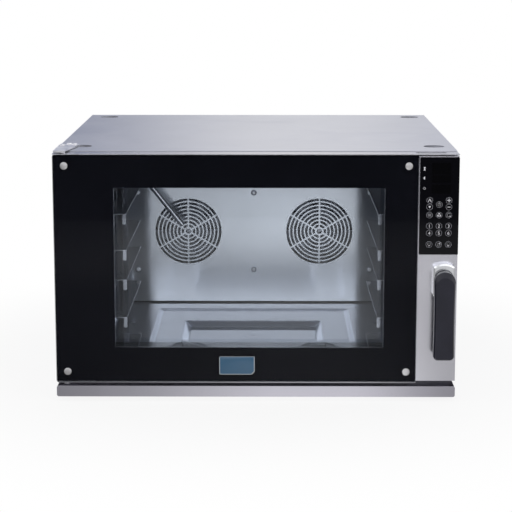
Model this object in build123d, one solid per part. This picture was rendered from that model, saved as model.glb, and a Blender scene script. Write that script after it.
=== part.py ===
from build123d import *
import math
import os

# Overall size, in millimetres
width = 800.0
height = 502.0
body_depth = 780.0
handle_reach = 46.0
rear_reach = 22.0
foot_height = 10.0
panel = 1.5
liner = 1.5

# Frame: the origin is under the middle of the whole oven, and the door faces -Y
half = width / 2
front = handle_reach - (handle_reach + body_depth + rear_reach) / 2
back = front + body_depth

# Heights of the cabinet front
gutter_top = foot_height + 22.0
nose_under = height - 2 * panel
nose_leg_under = height - 7.0
frame_clearance = 1.5
glass_clearance = 0.8

# Space in front of the cabinet that the door fills
door_space = 48.0
cabinet_front = front + door_space
cabinet_inside = cabinet_front + panel
back_inside = back - 2 * panel
nose_depth = 39.0
groove_width = 4.5

# Vent slot in the strip above the control column
vent_left = half - 84.0
vent_right = half - 24.0
vent_inset = 17.0
vent_width = 16.0

# Hinge axis, measured from the left side and from the door's front face
hinge_x = 20.0 - half
hinge_back = 20.0
hinge_y = front + hinge_back
pin_radius = 4.0
running_gap = 0.05
bush_radius = 8.0
bush_length = 15.0
plate_rise = 1.2
plate_thick = 3.0

# Control column, the right-hand part of the door
column_left = half - 78.9
column_right = half - 0.4
column_face = 1.0
column_top = height - 5.0
column_deep_top = 13.0
column_low = gutter_top + 11.5

# Door
door_under = gutter_top + 5.5
door_back = door_space - 6.0
glass_thick = 5.0
mask_thick = 0.4
glass_lip = 2.8
glass_right = column_left - 0.6
glass_under = door_under + glass_lip
glass_top = nose_under - glass_clearance
frame_top = nose_leg_under - frame_clearance
frame_left = 11.0 - half
rail_wall = 1.5
window_left = 119.0 - half
window_right = column_left - 66.1
window_low = gutter_top + 78.5
window_high = height - 69.0
sight_left = 3.0
sight_right = 2.0
sight_low = 7.5
sight_high = 3.0
inner_glass_thick = 4.0
inner_glass_inset = 12.0
inner_glass_rise = 3.5
cap_radius = 7.5

# Blank badge plate at the foot of the door glass
badge_left = (glass_right - half) / 2 - 33.0
badge_width = 70.4
badge_low = glass_under + 15.8
badge_high = badge_low + 36.8

# Handle: the boss is fixed on the column, and the lever turns in front of it
handle_x = half - 28.0
handle_z = height / 2 + 0.5
boss_width = 42.2
boss_low = handle_z - 32.5
boss_high = handle_z + 33.5
boss_dome = 38.0
boss_front = -20.0
boss_bevel = 3.0
lever_gap = 0.3
grip_width = 42.0
grip_waist = 40.0
grip_low = handle_z - 156.5
grip_back = -24.0
grip_shoulder = -39.0
grip_inset = 3.0
grip_drop = 7.6
grip_corner = 9.0
grip_edge = 1.5
spindle_radius = 7.0
spindle_front = -30.0
hook_reach = 23.0
hook_thick = 6.0
hook_front = 54.0
hook_hub = 11.0

# Touch panel above the handle, and the displays behind it: X from its left, Z from its top
control_low = boss_high + 16.0
control_high = height - 7.0
control_left = half - 77.5
control_thick = 2.0
display_left = control_left + 22.7
display_right = control_left + 61.3
display_drops = ((11.0, 34.2), (35.6, 51.1), (54.1, 72.2))

# Oven cavity
cavity_left = 82.0 - half
cavity_right = half - 98.0
cavity_x = (cavity_left + cavity_right) / 2
cavity_width = cavity_right - cavity_left
cavity_low = gutter_top + 63.0
cavity_high = height - 62.0
cavity_corner = 18.0
cavity_back = back - 180.0

# Pressed recesses of the cavity floor: half width, front, back, depth, slope of the wall
recess_half = cavity_width / 2 - 96.5
recess_front = front + 118.0
recess_back = cavity_back - 150.0
recess_depth = 3.0
recess_slope = 11.0
sump_half = recess_half - 64.0
sump_front = recess_front + 28.0
sump_back = recess_back - 111.0
sump_depth = 11.0
sump_slope = 14.0
drain_radius = 3.5

# Fan baffle
baffle_y = cavity_back - 82.0
baffle_half = cavity_width / 2 - 14.0
baffle_low = cavity_low + 3.4
baffle_high = cavity_high - 4.0
baffle_fold = 14.0
fan_spread = cavity_width / 4 - 5.3
fan_z = (cavity_low + cavity_high) / 2 - 6.3
grille_radius = 75.4
ring_pitch = 8.56
slot_width = 5.4
ring_count = 8
spoke_width = 3.6
stud_spread = baffle_half - 31.0
stud_rise = 89.1
stud_radius = 4.0

# Light and probe of the cavity
lamp_radius = 20.0
lamp_y = front + 200.0
lamp_can = 30.0
lens_rim = 6.0
probe_radius = 3.0
probe_z = cavity_high - 30.0

# Tray racks: the levels and the foot tongue as heights above the cavity floor
level_rises = (62.0, 140.0, 201.0, 275.0)
tongue_rise = 36.0
tongue_reach = 24.0
tongue_length = 14.0
ledge_inner = cavity_left + 55.5
ledge_outer = cavity_left + 4.0
ledge_front = front + 75.0
ledge_back = baffle_y - 56.0
ledge_tab = 7.0
tab_height = 21.0
rack_sheet = 1.2
rack_low = cavity_low + 2.0
upright_low = cavity_low + cavity_corner - 3.0
rack_high = cavity_high - 12.0

# Fans, motors and the room behind the cavity
bulkhead_y = cavity_back + 39.0
bulkhead_thick = 2.0
wheel_radius = 92.0
wheel_front = baffle_y + 18.0
wheel_back = cavity_back - 35.0
shaft_radius = 6.0
shaft_nose = 7.0
shaft_engage = 24.0
heater_radius = 112.0
heater_tube = 4.0
motor_radius = 42.0
motor_length = 75.0
motor_flange = 48.0
bearing_radius = 18.0
bearing_length = 10.0
wall_x = cavity_right + 20.0
wall_thick = 1.2
blanket = 30.0
board_front = front + 250.0
board_low = cavity_low + 55.0
board_long = 220.0
board_high = 190.0

# Hardware on the outside
foot_radius = 20.0
foot_spread = half - 42.0
foot_shift = 3.0
foot_front = front + 122.0
foot_back = back - 50.0
dimple_radius = 21.0
dimple_depth = 3.0
exhaust_x = cavity_right - 102.0
exhaust_z = cavity_high - 40.0
exhaust_radius = 16.0
stub_radius = 20.0
stub_wall = 1.5
inlet_x = 100.0 - half
inlet_z = foot_height + 70.0
inlet_radius = 13.2
gland_x = half - 50.0
gland_z = foot_height + 70.0
gland_radius = 12.0
gland_bore = 6.5
cooler_half = 60.0
cooler_depth = 38.0


def block(x0, x1, y0, y1, z0, z1):
    """A box between two corners."""
    size = (x1 - x0, y1 - y0, z1 - z0)
    middle = ((x0 + x1) / 2, (y0 + y1) / 2, (z0 + z1) / 2)
    return Pos(*middle) * Box(*size)


def rod_x(radius, x0, x1, y, z):
    """A round bar along X."""
    return Pos((x0 + x1) / 2, y, z) * Rot(0, 90, 0) * Cylinder(radius, x1 - x0)


def rod_y(radius, x, z, y0, y1):
    """A round bar along Y."""
    return Pos(x, (y0 + y1) / 2, z) * Rot(90, 0, 0) * Cylinder(radius, y1 - y0)


def rod_z(radius, x, y, z0, z1):
    """A round bar along Z."""
    return Pos(x, y, (z0 + z1) / 2) * Cylinder(radius, z1 - z0)


def upright_sheet(outline, y0, y1):
    """A flat outline drawn in X and Z, made solid from y0 to y1."""
    return extrude(Plane.XZ.offset(-y1) * outline, y1 - y0)


def rounded_opening(x0, x1, z0, z1, radius):
    """A rectangle with rounded corners, drawn in X and Z."""
    return Pos((x0 + x1) / 2, (z0 + z1) / 2) * RectangleRounded(x1 - x0, z1 - z0, radius)


def group(solids):
    """Several separate solids that share one node."""
    return Compound(children=list(solids))


def foot_places():
    """X and Y of the four places that feet and stacking dimples share."""
    return [(foot_shift + side * foot_spread, y) for side in (-1, 1) for y in (foot_front, foot_back)]


# Cabinet sheet metal


def top_cover():
    """Flat lid with turned-down sides, a lowered front edge and four stacking dimples."""
    under = height - panel
    slope_start = cabinet_front + 1.0
    slope_end = front + nose_depth + groove_width
    lid = block(-half, half, slope_start, back, under, height)
    profile = Polyline(
        (slope_start, height),
        (slope_start, under),
        (slope_end, under - 0.8),
        (slope_end, height - 0.8),
        close=True,
    )
    lid += extrude(Plane.YZ.offset(-half) * make_face(profile), width)
    skirt = 12.0
    for side in (-1, 1):
        outer = side * half
        inner = side * (half - panel)
        lid += block(min(outer, inner), max(outer, inner), cabinet_inside, back, under - skirt, under)
    lid += block(panel - half, half - panel, back - panel, back, under - skirt, under)
    for x, y in foot_places():
        lid += rod_z(dimple_radius + panel, x, y, under - dimple_depth, under)
        lid -= rod_z(dimple_radius, x, y, height - dimple_depth, height + 1)
    return lid


def side_panel(side):
    """Side sheet with a return flange at the front and the back."""
    outer = half - panel
    inner = outer - panel
    flange = 14.0
    base = foot_height + panel + 0.5
    sheet = block(inner, outer, cabinet_inside, back_inside, foot_height, height - panel)
    sheet += block(inner - flange, inner, cabinet_inside, cabinet_inside + panel, base, height - 2)
    sheet += block(inner - flange, inner, back_inside - panel, back_inside, base, height - 2)
    return sheet if side > 0 else mirror(sheet, Plane.YZ)


def back_panel():
    """Rear sheet with cooling louvres, a fan grille and holes for the services."""
    sheet = block(panel - half, half - panel, back_inside, back - panel, foot_height, height - panel)
    y0 = back_inside - 1
    y1 = back
    for x in (inlet_x, exhaust_x + 50):
        for row in range(10):
            z = fan_z - 91 + row * 16.0
            sheet -= block(x - 45, x + 45, y0, y1, z, z + 5)
    for row in range(9):
        z = fan_z - 52 + row * 13.0
        reach = math.sqrt(56.0**2 - (z - fan_z) ** 2)
        sheet -= block(cavity_x - reach, cavity_x + reach, y0, y1, z - 3, z + 3)
    sheet -= rod_y(exhaust_radius + 0.3, exhaust_x, exhaust_z, y0, y1)
    sheet -= rod_y(inlet_radius - 0.7, inlet_x, inlet_z, y0, y1)
    sheet -= rod_y(gland_radius + 0.3, gland_x, gland_z, y0, y1)
    return sheet


def base_pan():
    """Bottom sheet with turned-up edges."""
    reach = half - 2 * panel
    top = foot_height + panel
    pan = block(-reach, reach, cabinet_inside, back_inside, foot_height, top)
    for side in (-1, 1):
        edge = sorted((side * reach, side * (reach - panel)))
        pan += block(edge[0], edge[1], cabinet_inside + panel, back_inside - panel, top, top + 25)
    flange = reach - 15.0
    pan += block(-flange, flange, cabinet_inside, cabinet_inside + panel, top, top + 28)
    return pan


def drip_gutter():
    """Trough across the foot of the cabinet, under the door."""
    outline = rounded_opening(-half, half, foot_height, gutter_top, 4.0)
    trough = upright_sheet(outline, front, cabinet_front)
    hollow = block(
        panel - half, half - panel, front + panel, cabinet_front - panel, foot_height + 2, gutter_top + 1
    )
    return trough - hollow


def nose_trim():
    """Narrow strip above the door, with a leg that runs back to the face frame."""
    flat_back = front + nose_depth
    leg_left = hinge_x + 28.0
    strip = block(-half, half, front, flat_back - panel, nose_under, nose_under + panel)
    strip -= rod_z(pin_radius + 0.3, hinge_x, hinge_y, nose_under - 1, nose_under + panel + 1)
    strip += block(leg_left, half, flat_back - panel, flat_back, nose_leg_under, nose_under + panel)
    strip += block(leg_left, half, flat_back, cabinet_inside, nose_leg_under, nose_leg_under + panel)
    vent_front = front + vent_inset
    vent = block(vent_left, vent_right, vent_front, vent_front + vent_width, nose_under - 1, nose_under + panel + 1)
    return strip - vent


def face_frame():
    """Flat sheet around the oven mouth, which the door closes on."""
    sheet = block(panel - half, half - panel, cabinet_front, cabinet_inside, foot_height, nose_leg_under)
    sheet -= upright_sheet(mouth_outline(), cabinet_front - 1, cabinet_inside + 1)
    slot = block(
        handle_x - hook_reach - 3,
        handle_x + 14,
        cabinet_front - 1,
        cabinet_inside + 1,
        handle_z - hook_reach - 3,
        handle_z + 14,
    )
    return sheet - slot


def foot_pads():
    """Four rubber feet, which stand in the dimples of an oven below."""
    pads = []
    for x, y in foot_places():
        pad = rod_z(foot_radius, x, y, 0, foot_height)
        pads.append(chamfer(pad.edges().group_by(Axis.Z)[0], 1.5))
    return group(pads)


# Oven cavity


def tapered(half_x, y0, y1, z_top, z_low, slope, grow=0.0):
    """A pressed recess: a rectangle at the top that slopes in towards its floor."""
    middle = (cavity_x, (y0 + y1) / 2)
    size = (2 * half_x + 2 * grow, y1 - y0 + 2 * grow)
    top = Pos(middle[0], middle[1], z_top) * RectangleRounded(size[0], size[1], 12)
    low = Pos(middle[0], middle[1], z_low) * RectangleRounded(size[0] - 2 * slope, size[1] - 2 * slope, 8)
    return loft([low, top], ruled=True)


def mouth_outline(grow=0.0):
    """Cross-section of the cavity, drawn in X and Z and grown by a margin."""
    x0 = cavity_left - grow
    x1 = cavity_right + grow
    return rounded_opening(x0, x1, cavity_low - grow, cavity_high + grow, cavity_corner + grow)


def cavity_liner():
    """Roof, sides and pressed floor of the cavity, as one folded sheet."""
    shell = upright_sheet(mouth_outline(liner) - mouth_outline(), cabinet_inside, cavity_back)
    recess_low = cavity_low - recess_depth
    sump_low = recess_low - sump_depth
    recess = (recess_half, recess_front, recess_back)
    sump = (sump_half, sump_front, sump_back)
    shell += tapered(*recess, cavity_low, recess_low - liner, recess_slope, liner)
    shell += tapered(*sump, recess_low, sump_low - liner, sump_slope, liner)
    shell -= tapered(*recess, cavity_low, recess_low, recess_slope)
    shell -= tapered(*sump, recess_low, sump_low, sump_slope)
    drain_y = (sump_front + sump_back) / 2
    shell -= rod_z(drain_radius, cavity_x, drain_y, sump_low - liner - 1, sump_low + 1)
    shell -= rod_z(lamp_radius, cavity_x, lamp_y, cavity_high - 1, cavity_high + liner + 1)
    return shell


def cavity_lamp_housing():
    """Socket can of the oven light, in the roof of the cavity."""
    can_top = cavity_high + lamp_can
    return rod_z(lamp_radius - 0.3, cavity_x, lamp_y, cavity_high, can_top)


def cavity_lamp_lens():
    """Glass cover of the oven light."""
    lens = rod_z(lamp_radius + lens_rim, cavity_x, lamp_y, cavity_high - lens_rim, cavity_high)
    return fillet(lens.edges().group_by(Axis.Z)[0], 4.0)


def cavity_back_wall():
    """Rear wall of the cavity, with holes for the fan shafts, the exhaust and the probe."""
    wall = upright_sheet(mouth_outline(liner), cavity_back, cavity_back + liner)
    y0 = cavity_back - 1
    y1 = cavity_back + liner + 1
    for x in fan_places():
        wall -= rod_y(shaft_radius + 3, x, fan_z, y0, y1)
    wall -= rod_y(exhaust_radius + 0.3, exhaust_x, exhaust_z, y0, y1)
    wall -= rod_y(probe_radius + 0.3, cavity_x, probe_z, y0, y1)
    return wall


def fan_places():
    """X of the left and the right fan."""
    return (cavity_x - fan_spread, cavity_x + fan_spread)


def grille_cut(x):
    """Ring slots of one fan grille, cut by six spokes, with a six-sided hole at the centre."""
    rings = Sketch()
    for ring in range(ring_count):
        outer = grille_radius - ring * ring_pitch
        rings += Circle(outer) - Circle(outer - slot_width)
    for angle in (30, 90, 150):
        rings -= Rot(0, 0, angle) * Rectangle(2 * grille_radius + 2, spoke_width)
    rings += RegularPolygon(6.5, 6)
    return upright_sheet(Pos(x, fan_z) * rings, baffle_y - 1, baffle_y + liner + 1)


def fan_baffle():
    """Plate in front of the fans, with two grilles and turned-back side edges."""
    left = cavity_x - baffle_half
    right = cavity_x + baffle_half
    plate = upright_sheet(
        rounded_opening(left, right, baffle_low, baffle_high, 6.0), baffle_y, baffle_y + liner
    )
    edge_back = baffle_y + liner + baffle_fold
    for x0 in (left, right - liner):
        plate += block(x0, x0 + liner, baffle_y + liner, edge_back, baffle_low + 8, baffle_high - 8)
    for x in fan_places():
        plate -= grille_cut(x)
    for x, z in stud_places():
        plate -= rod_y(stud_radius + running_gap, x, z, baffle_y - 1, baffle_y + liner + 1)
    return plate - rod_y(probe_radius + 0.5, cavity_x, probe_z, baffle_y - 1, baffle_y + liner + 1)


def stud_places():
    """Where the screws hold the baffle."""
    columns = [cavity_x + side * stud_spread for side in (-1, 0, 1)]
    return [(x, fan_z + row * stud_rise) for x in columns for row in (-1, 1)]


def baffle_screws():
    """Six long screws with domed heads, from the baffle to the rear wall."""
    screws = []
    for x, z in stud_places():
        head = rod_y(8.0, x, z, baffle_y - 4, baffle_y)
        head = fillet(head.edges().group_by(Axis.Y)[0], 2.5)
        screws.append(head + rod_y(stud_radius, x, z, baffle_y, cavity_back))
    return group(screws)


def left_rack():
    """Four tray ledges with front tabs, on two wall uprights and a rear strip with a tongue."""
    rack = block(ledge_outer - 2, ledge_outer, ledge_front + 10, ledge_front + 22, upright_low, rack_high)
    rack += block(ledge_outer - 2, ledge_outer, ledge_back - 12, ledge_back, upright_low, rack_high)
    strip_left = ledge_outer + 11.0
    rack += block(strip_left, strip_left + 11, ledge_back, ledge_back + rack_sheet, rack_low, rack_high)
    tab_left = ledge_inner - ledge_tab
    tab_back = ledge_front + rack_sheet
    for rise in level_rises:
        level = cavity_low + rise
        rack += block(ledge_outer, ledge_inner, ledge_front, ledge_back, level - rack_sheet, level)
        rack += block(tab_left, ledge_inner, ledge_front, tab_back, level - tab_height, level)
    return rack + foot_tongue(strip_left)


def foot_tongue(left):
    """Short tongue with a round corner, turned forward from the rear strip under the ledges."""
    top = cavity_low + tongue_rise
    right = left + tongue_reach
    tongue = block(left, right, ledge_back - tongue_length, ledge_back + rack_sheet, top - rack_sheet, top)
    return fillet(tongue.edges().filter_by(Axis.Z).sort_by(Axis.Y)[0:2].sort_by(Axis.X)[-1], 9.0)


def across_cavity(shape):
    """The same shape on the other side of the cavity."""
    return mirror(shape, Plane.YZ.offset(cavity_x))


def rack_studs():
    """Eight short studs that hold the racks off the cavity walls."""
    studs = []
    for y in (ledge_front + 16, ledge_back - 6):
        for z in (rack_low + 20, rack_high - 20):
            stud = rod_x(5.0, cavity_left, ledge_outer - 2, y, z)
            studs += [stud, across_cavity(stud)]
    return group(studs)


def steam_tube():
    """Slanting pipe that drips water on to the left fan."""
    tip = Vector(cavity_x - fan_spread - 11, baffle_y - 40, fan_z + 21)
    rise = cavity_high + 10 - tip.Z
    top = tip + Vector(-0.79 * rise, 0, rise)
    length = (top - tip).length
    line = Plane(origin=(tip + top) * 0.5, z_dir=top - tip)
    tube = line * Cylinder(6.2, length)
    bore = line * Cylinder(4.7, length + 2)
    room = block(cavity_left, cavity_right, front, baffle_y, cavity_low, cavity_high)
    return (tube - bore) & room


def temp_probe():
    """Thin probe through the rear wall and the baffle into the cavity."""
    probe = rod_y(probe_radius, cavity_x, probe_z, baffle_y - 40, cavity_back + liner + 20)
    return fillet(probe.edges().group_by(Axis.Y)[0], 2.0)


# Fans, heaters and motors


def fan_wheel(x):
    """Radial fan wheel: hub, back plate, ten blades and a front ring."""
    plate = 2.0
    wheel = rod_y(wheel_radius, x, fan_z, wheel_back - plate, wheel_back)
    wheel += rod_y(14.0, x, fan_z, wheel_front, wheel_back)
    ring = rod_y(wheel_radius, x, fan_z, wheel_front, wheel_front + plate)
    ring -= rod_y(wheel_radius - 14, x, fan_z, wheel_front - 1, wheel_front + plate + 1)
    wheel += ring
    blade = block(44, wheel_radius - 1, wheel_front + plate / 2, wheel_back - plate / 2, -1, 1)
    for n in range(10):
        wheel += Pos(x, 0, fan_z) * Rot(0, 36 * n, 0) * blade
    return wheel - rod_y(shaft_radius + running_gap, x, fan_z, wheel_front - 1, wheel_back + 1)


def fan_shaft(x):
    """Motor shaft that carries the wheel, and the nut on its nose."""
    outline = Pos(x, fan_z) * (RegularPolygon(10, 6) - Circle(shaft_radius))
    nut = upright_sheet(outline, wheel_front - shaft_nose + 1, wheel_front)
    shaft_end = bulkhead_y + bulkhead_thick + shaft_engage
    return group([rod_y(shaft_radius, x, fan_z, wheel_front - shaft_nose, shaft_end), nut])


def heater(x):
    """Round heating element of two turns, held by four flat clips from the rear wall."""
    first = wheel_front + 8
    second = wheel_back - 8
    clip_front = first - heater_tube - 1.5
    clip = block(heater_radius - 5.5, heater_radius + 5.5, clip_front, cavity_back, -1, 1)
    turns = [Pos(x, y, fan_z) * Rot(90, 0, 0) * Torus(heater_radius, heater_tube) for y in (first, second)]
    element = turns[0] + turns[1]
    for angle in (45, 135, 225, 315):
        element += Pos(x, 0, fan_z) * Rot(0, angle, 0) * clip
    return element


def fan_motor(x):
    """Fan motor with its flange against the bulkhead."""
    start = bulkhead_y + bulkhead_thick
    end = start + motor_length
    reach = motor_flange
    motor = block(x - reach, x + reach, start, start + 4, fan_z - reach, fan_z + reach)
    motor += rod_y(motor_radius, x, fan_z, start + 4, end)
    motor += rod_y(bearing_radius, x, fan_z, end, end + bearing_length)
    return motor - rod_y(shaft_radius + running_gap, x, fan_z, start - 1, start + shaft_engage + 11)


def motor_bulkhead():
    """Upright plate that carries the motors and closes off the insulation."""
    left = 2 * panel + liner - half
    plate = block(
        left, wall_x, bulkhead_y, bulkhead_y + bulkhead_thick, foot_height + panel, height - panel
    )
    y0 = bulkhead_y - 1
    y1 = bulkhead_y + bulkhead_thick + 1
    for x in fan_places():
        plate -= rod_y(shaft_radius + 4, x, fan_z, y0, y1)
    return plate - rod_y(exhaust_radius + 0.3, exhaust_x, exhaust_z, y0, y1)


def insulation():
    """Five blankets around the cavity: roof, floor, left, right and rear."""
    outer_left = cavity_left - liner - blanket
    top = cavity_high + liner
    low = cavity_low - liner
    sump_under = cavity_low - recess_depth - sump_depth - liner
    y0 = cabinet_inside + panel
    roof = block(outer_left, wall_x, y0, cavity_back, top, top + blanket)
    roof -= rod_z(lamp_radius, cavity_x, lamp_y, top - 1, top + blanket + 1)
    floor = block(outer_left, wall_x, y0, cavity_back, sump_under - blanket, sump_under)
    left = block(outer_left, cavity_left - liner, y0, cavity_back, low, top)
    right = block(cavity_right + liner, wall_x, y0, cavity_back, low, top)
    rear = block(cavity_left, cavity_right, cavity_back + liner, bulkhead_y, low, top)
    for x in fan_places():
        rear -= rod_y(shaft_radius + 4, x, fan_z, cavity_back, bulkhead_y + 1)
    rear -= rod_y(exhaust_radius + 0.3, exhaust_x, exhaust_z, cavity_back, bulkhead_y + 1)
    rear -= rod_y(probe_radius + 0.3, cavity_x, probe_z, cavity_back, bulkhead_y + 1)
    return group([roof, floor, left, right, rear])


def exhaust_pipe():
    """Steam outlet from the cavity through the back panel, with a wider stub for a duct."""
    start = back - panel
    end = back + rear_reach
    pipe = rod_y(exhaust_radius, exhaust_x, exhaust_z, cavity_back, start)
    pipe += rod_y(stub_radius, exhaust_x, exhaust_z, start, end)
    pipe -= rod_y(exhaust_radius - stub_wall, exhaust_x, exhaust_z, cavity_back - 1, start + 2)
    return pipe - rod_y(stub_radius - stub_wall, exhaust_x, exhaust_z, start + 1.5, end + 1)


# Electrics and water


def compartment_wall():
    """Sheet between the hot side and the electrics on the right."""
    low = foot_height + panel
    high = height - panel
    return block(wall_x, wall_x + wall_thick, cabinet_inside + panel, back_inside - panel, low, high)


def power_board():
    """Relay board on spacers, on the compartment wall."""
    x = wall_x + wall_thick
    y0 = board_front
    low = board_low
    board = block(x + 6, x + 7.6, y0, y0 + board_long, low, low + board_high)
    for y in (y0 + 10, y0 + board_long - 10):
        for z in (low + 10, low + board_high - 10):
            board += rod_x(4.0, x, x + 6, y, z)
    for n in range(4):
        board += block(x + 7.6, x + 26, y0 + 20 + n * 48, y0 + 52 + n * 48, low + 20, low + 55)
    board += block(x + 7.6, x + 40, y0 + 30, y0 + 95, low + 90, low + 150)
    board += block(x + 7.6, x + 18, y0 + 120, y0 + 205, low + 85, low + 170)
    return board


def terminal_block():
    """Mains terminals beside the cable entry."""
    base = foot_height + panel
    left = wall_x + 8
    body = block(left, left + 55, back - 150, back - 95, base, base + 24)
    for n in range(5):
        body += rod_z(4.0, left + 6 + n * 10.5, back - 122, base + 24, base + 27)
    return body


def water_valve():
    """Solenoid valve with a threaded inlet through the back panel."""
    valve = block(inlet_x - 18, inlet_x + 18, back_inside - 45, back_inside, inlet_z - 18, inlet_z + 18)
    coil_low = inlet_z + 18
    coil_back = back_inside - 10
    valve += block(inlet_x - 14, inlet_x + 14, coil_back - 28, coil_back, coil_low, coil_low + 42)
    outside = back - panel
    valve += rod_y(inlet_radius - 1, inlet_x, inlet_z, back_inside, outside)
    valve += upright_sheet(Pos(inlet_x, inlet_z) * RegularPolygon(18, 6), outside, outside + 4)
    valve += rod_y(inlet_radius, inlet_x, inlet_z, outside + 4, outside + 20)
    return valve - rod_y(inlet_radius - 4, inlet_x, inlet_z, outside, outside + 21)


def cable_gland():
    """Empty cable entry on the back panel."""
    nut_low = back_inside - 6
    gland = rod_y(gland_radius, gland_x, gland_z, back_inside, back - panel)
    outer = upright_sheet(Pos(gland_x, gland_z) * RegularPolygon(17, 6), back - panel, back + 8)
    inner = upright_sheet(Pos(gland_x, gland_z) * RegularPolygon(17, 6), nut_low, back_inside)
    cap = rod_y(gland_radius, gland_x, gland_z, back + 8, back + rear_reach - 4)
    gland += outer + inner + cap
    return gland - rod_y(gland_bore, gland_x, gland_z, nut_low - 1, back + rear_reach)


def cooler_frame():
    """Square frame of the cooling fan, on the back panel."""
    y0 = back_inside - cooler_depth
    outline = Pos(cavity_x, fan_z) * Rectangle(2 * cooler_half, 2 * cooler_half)
    frame = upright_sheet(outline, y0, back_inside)
    frame -= rod_y(cooler_half - 3, cavity_x, fan_z, y0 - 1, back_inside + 1)
    for angle in (0, 90):
        arm = Pos(cavity_x, y0 + 2, fan_z) * Rot(0, angle + 45, 0) * Box(2 * cooler_half - 4, 4, 5)
        frame += arm
    return frame + rod_y(4.0, cavity_x, fan_z, y0, y0 + 24)


def cooler_rotor():
    """Hub and seven blades of the cooling fan."""
    y0 = back_inside - cooler_depth + 4.6
    y1 = back_inside - 5
    rotor = rod_y(20.0, cavity_x, fan_z, y0, y1)
    blade = Pos(36, (y0 + y1) / 2, 0) * Rot(35, 0, 0) * Box(36, 26, 1.6)
    for n in range(7):
        rotor += Pos(cavity_x, 0, fan_z) * Rot(0, n * 360 / 7, 0) * blade
    return rotor - rod_y(4.0 + running_gap, cavity_x, fan_z, y0 - 1, y0 + 22)


# Door


def cap_places():
    """Round caps at the corners of the door glass: X and Z of each."""
    left = 23.0 - half
    right = glass_right - 19.6
    top = glass_top - 21.2
    low = glass_under + 21.6
    return [(left, top), (right, top), (left, low), (right, low)]


def drilled_for_caps(sheet, y0, y1):
    """The sheet with its four holes for the caps."""
    for x, z in cap_places():
        sheet -= rod_y(4.2, x, z, y0, y1)
    return sheet


def door_outer_glass():
    """Clear front pane of the door."""
    outline = rounded_opening(-half, glass_right, glass_under, glass_top, 3.0)
    pane = upright_sheet(outline, front, front + glass_thick)
    return drilled_for_caps(pane, front - 1, front + glass_thick + 1)


def glass_mask():
    """Black print behind the front pane, open at the window."""
    y0 = front + glass_thick
    edge = 0.3
    outline = rounded_opening(edge - half, glass_right - edge, glass_under + edge, glass_top - edge, 2.5)
    outline -= rounded_opening(window_left, window_right, window_low, window_high, 2.0)
    sheet = upright_sheet(outline, y0, y0 + mask_thick)
    return drilled_for_caps(sheet, y0 - 1, y0 + 1)


def rail_span():
    """Front and back Y of the door frame."""
    return front + glass_thick + mask_thick, front + door_back


def door_stile(x0, x1):
    """Upright tube of the door frame, between the rails."""
    y0, y1 = rail_span()
    low = window_low - sight_low
    high = window_high + sight_high
    tube = block(x0, x1, y0, y1, low, high)
    wall = rail_wall
    return tube - block(x0 + wall, x1 - wall, y0 + wall, y1 - wall, low - 1, high + 1)


def door_rail(z0, z1):
    """Cross tube of the door frame, solid at the hinge and open at the other end."""
    y0, y1 = rail_span()
    wall = rail_wall
    rail = block(frame_left, column_left, y0, y1, z0, z1)
    hollow_left = hinge_x + 25.0
    return rail - block(hollow_left, column_left + 1, y0 + wall, y1 - wall, z0 + wall, z1 - wall)


def door_top_rail():
    """Top rail with the hole for the upper bush."""
    rail = door_rail(window_high + sight_high, frame_top)
    return rail - rod_z(bush_radius, hinge_x, hinge_y, frame_top - bush_length, frame_top + 1)


def door_bottom_rail():
    """Bottom rail with a thin lip to the left and the hole for the lower bush."""
    low = door_under
    y0 = rail_span()[0]
    rail = door_rail(low, window_low - sight_low)
    rail += block(2 - half, frame_left, y0, y0 + 3, low, window_low - sight_low)
    return rail - rod_z(bush_radius, hinge_x, hinge_y, low - 1, low + bush_length)


def hinge_bushes():
    """Two bushes that turn on the hinge pins."""
    bushes = []
    for low in (door_under, frame_top - bush_length):
        ring = rod_z(bush_radius - 0.02, hinge_x, hinge_y, low, low + bush_length)
        ring -= rod_z(pin_radius + running_gap, hinge_x, hinge_y, low - 1, low + bush_length + 1)
        bushes.append(ring)
    return group(bushes)


def door_inner_glass():
    """Rear pane of the door, clear of the seal."""
    inset = inner_glass_inset
    rise = inner_glass_rise
    outline = rounded_opening(
        cavity_left + inset, cavity_right - inset, cavity_low - rise, cavity_high + rise, 10.0
    )
    y0 = front + door_back
    return upright_sheet(outline, y0, y0 + inner_glass_thick)


def control_column():
    """Folded steel box at the free side of the door, for the controls and the handle."""
    y0 = front + column_face
    y1 = front + door_back
    box = block(column_left, column_right, y0, y1, column_low, frame_top)
    box += block(column_left, column_right, y0, y0 + column_deep_top, frame_top, column_top)
    box = fillet(box.edges().filter_by(Axis.Z).group_by(Axis.X)[-1].sort_by(Axis.Y)[0], 1.2)
    wall = rail_wall
    box -= block(
        column_left + wall, column_right - wall, y0 + wall, y1 - wall, column_low + wall, frame_top - wall
    )
    margin = 9.0
    x0 = column_left + margin
    x1 = column_right - margin
    box -= block(x0, x1, y0 - 1, y0 + wall + 1, control_low + margin, control_high - margin)
    return box - rod_y(spindle_radius + running_gap, handle_x, handle_z, y0 - 1, y1 + 1)


def control_glass():
    """Black touch panel on the column."""
    outline = rounded_opening(control_left, half, control_low, control_high, 2.0)
    y1 = front + column_face
    return upright_sheet(outline, y1 - control_thick, y1)


def display_board():
    """Control board behind the touch panel, with three displays."""
    y0 = front + column_face + rail_wall
    board = block(column_left + 4, column_right - 4, y0, y0 + 1.6, control_low + 4, control_high - 6)
    for high, low in display_drops:
        board += block(display_left, display_right, y0 - 1.2, y0, control_high - low, control_high - high)
    return board


def glass_caps():
    """Four round steel caps with the shanks that hold the front pane."""
    caps = []
    for x, z in cap_places():
        head = rod_y(cap_radius, x, z, front - 2.5, front)
        head = fillet(head.edges().group_by(Axis.Y)[0], 1.5)
        caps.append(head + rod_y(4.0, x, z, front, front + glass_thick + mask_thick))
    return group(caps)


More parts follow.
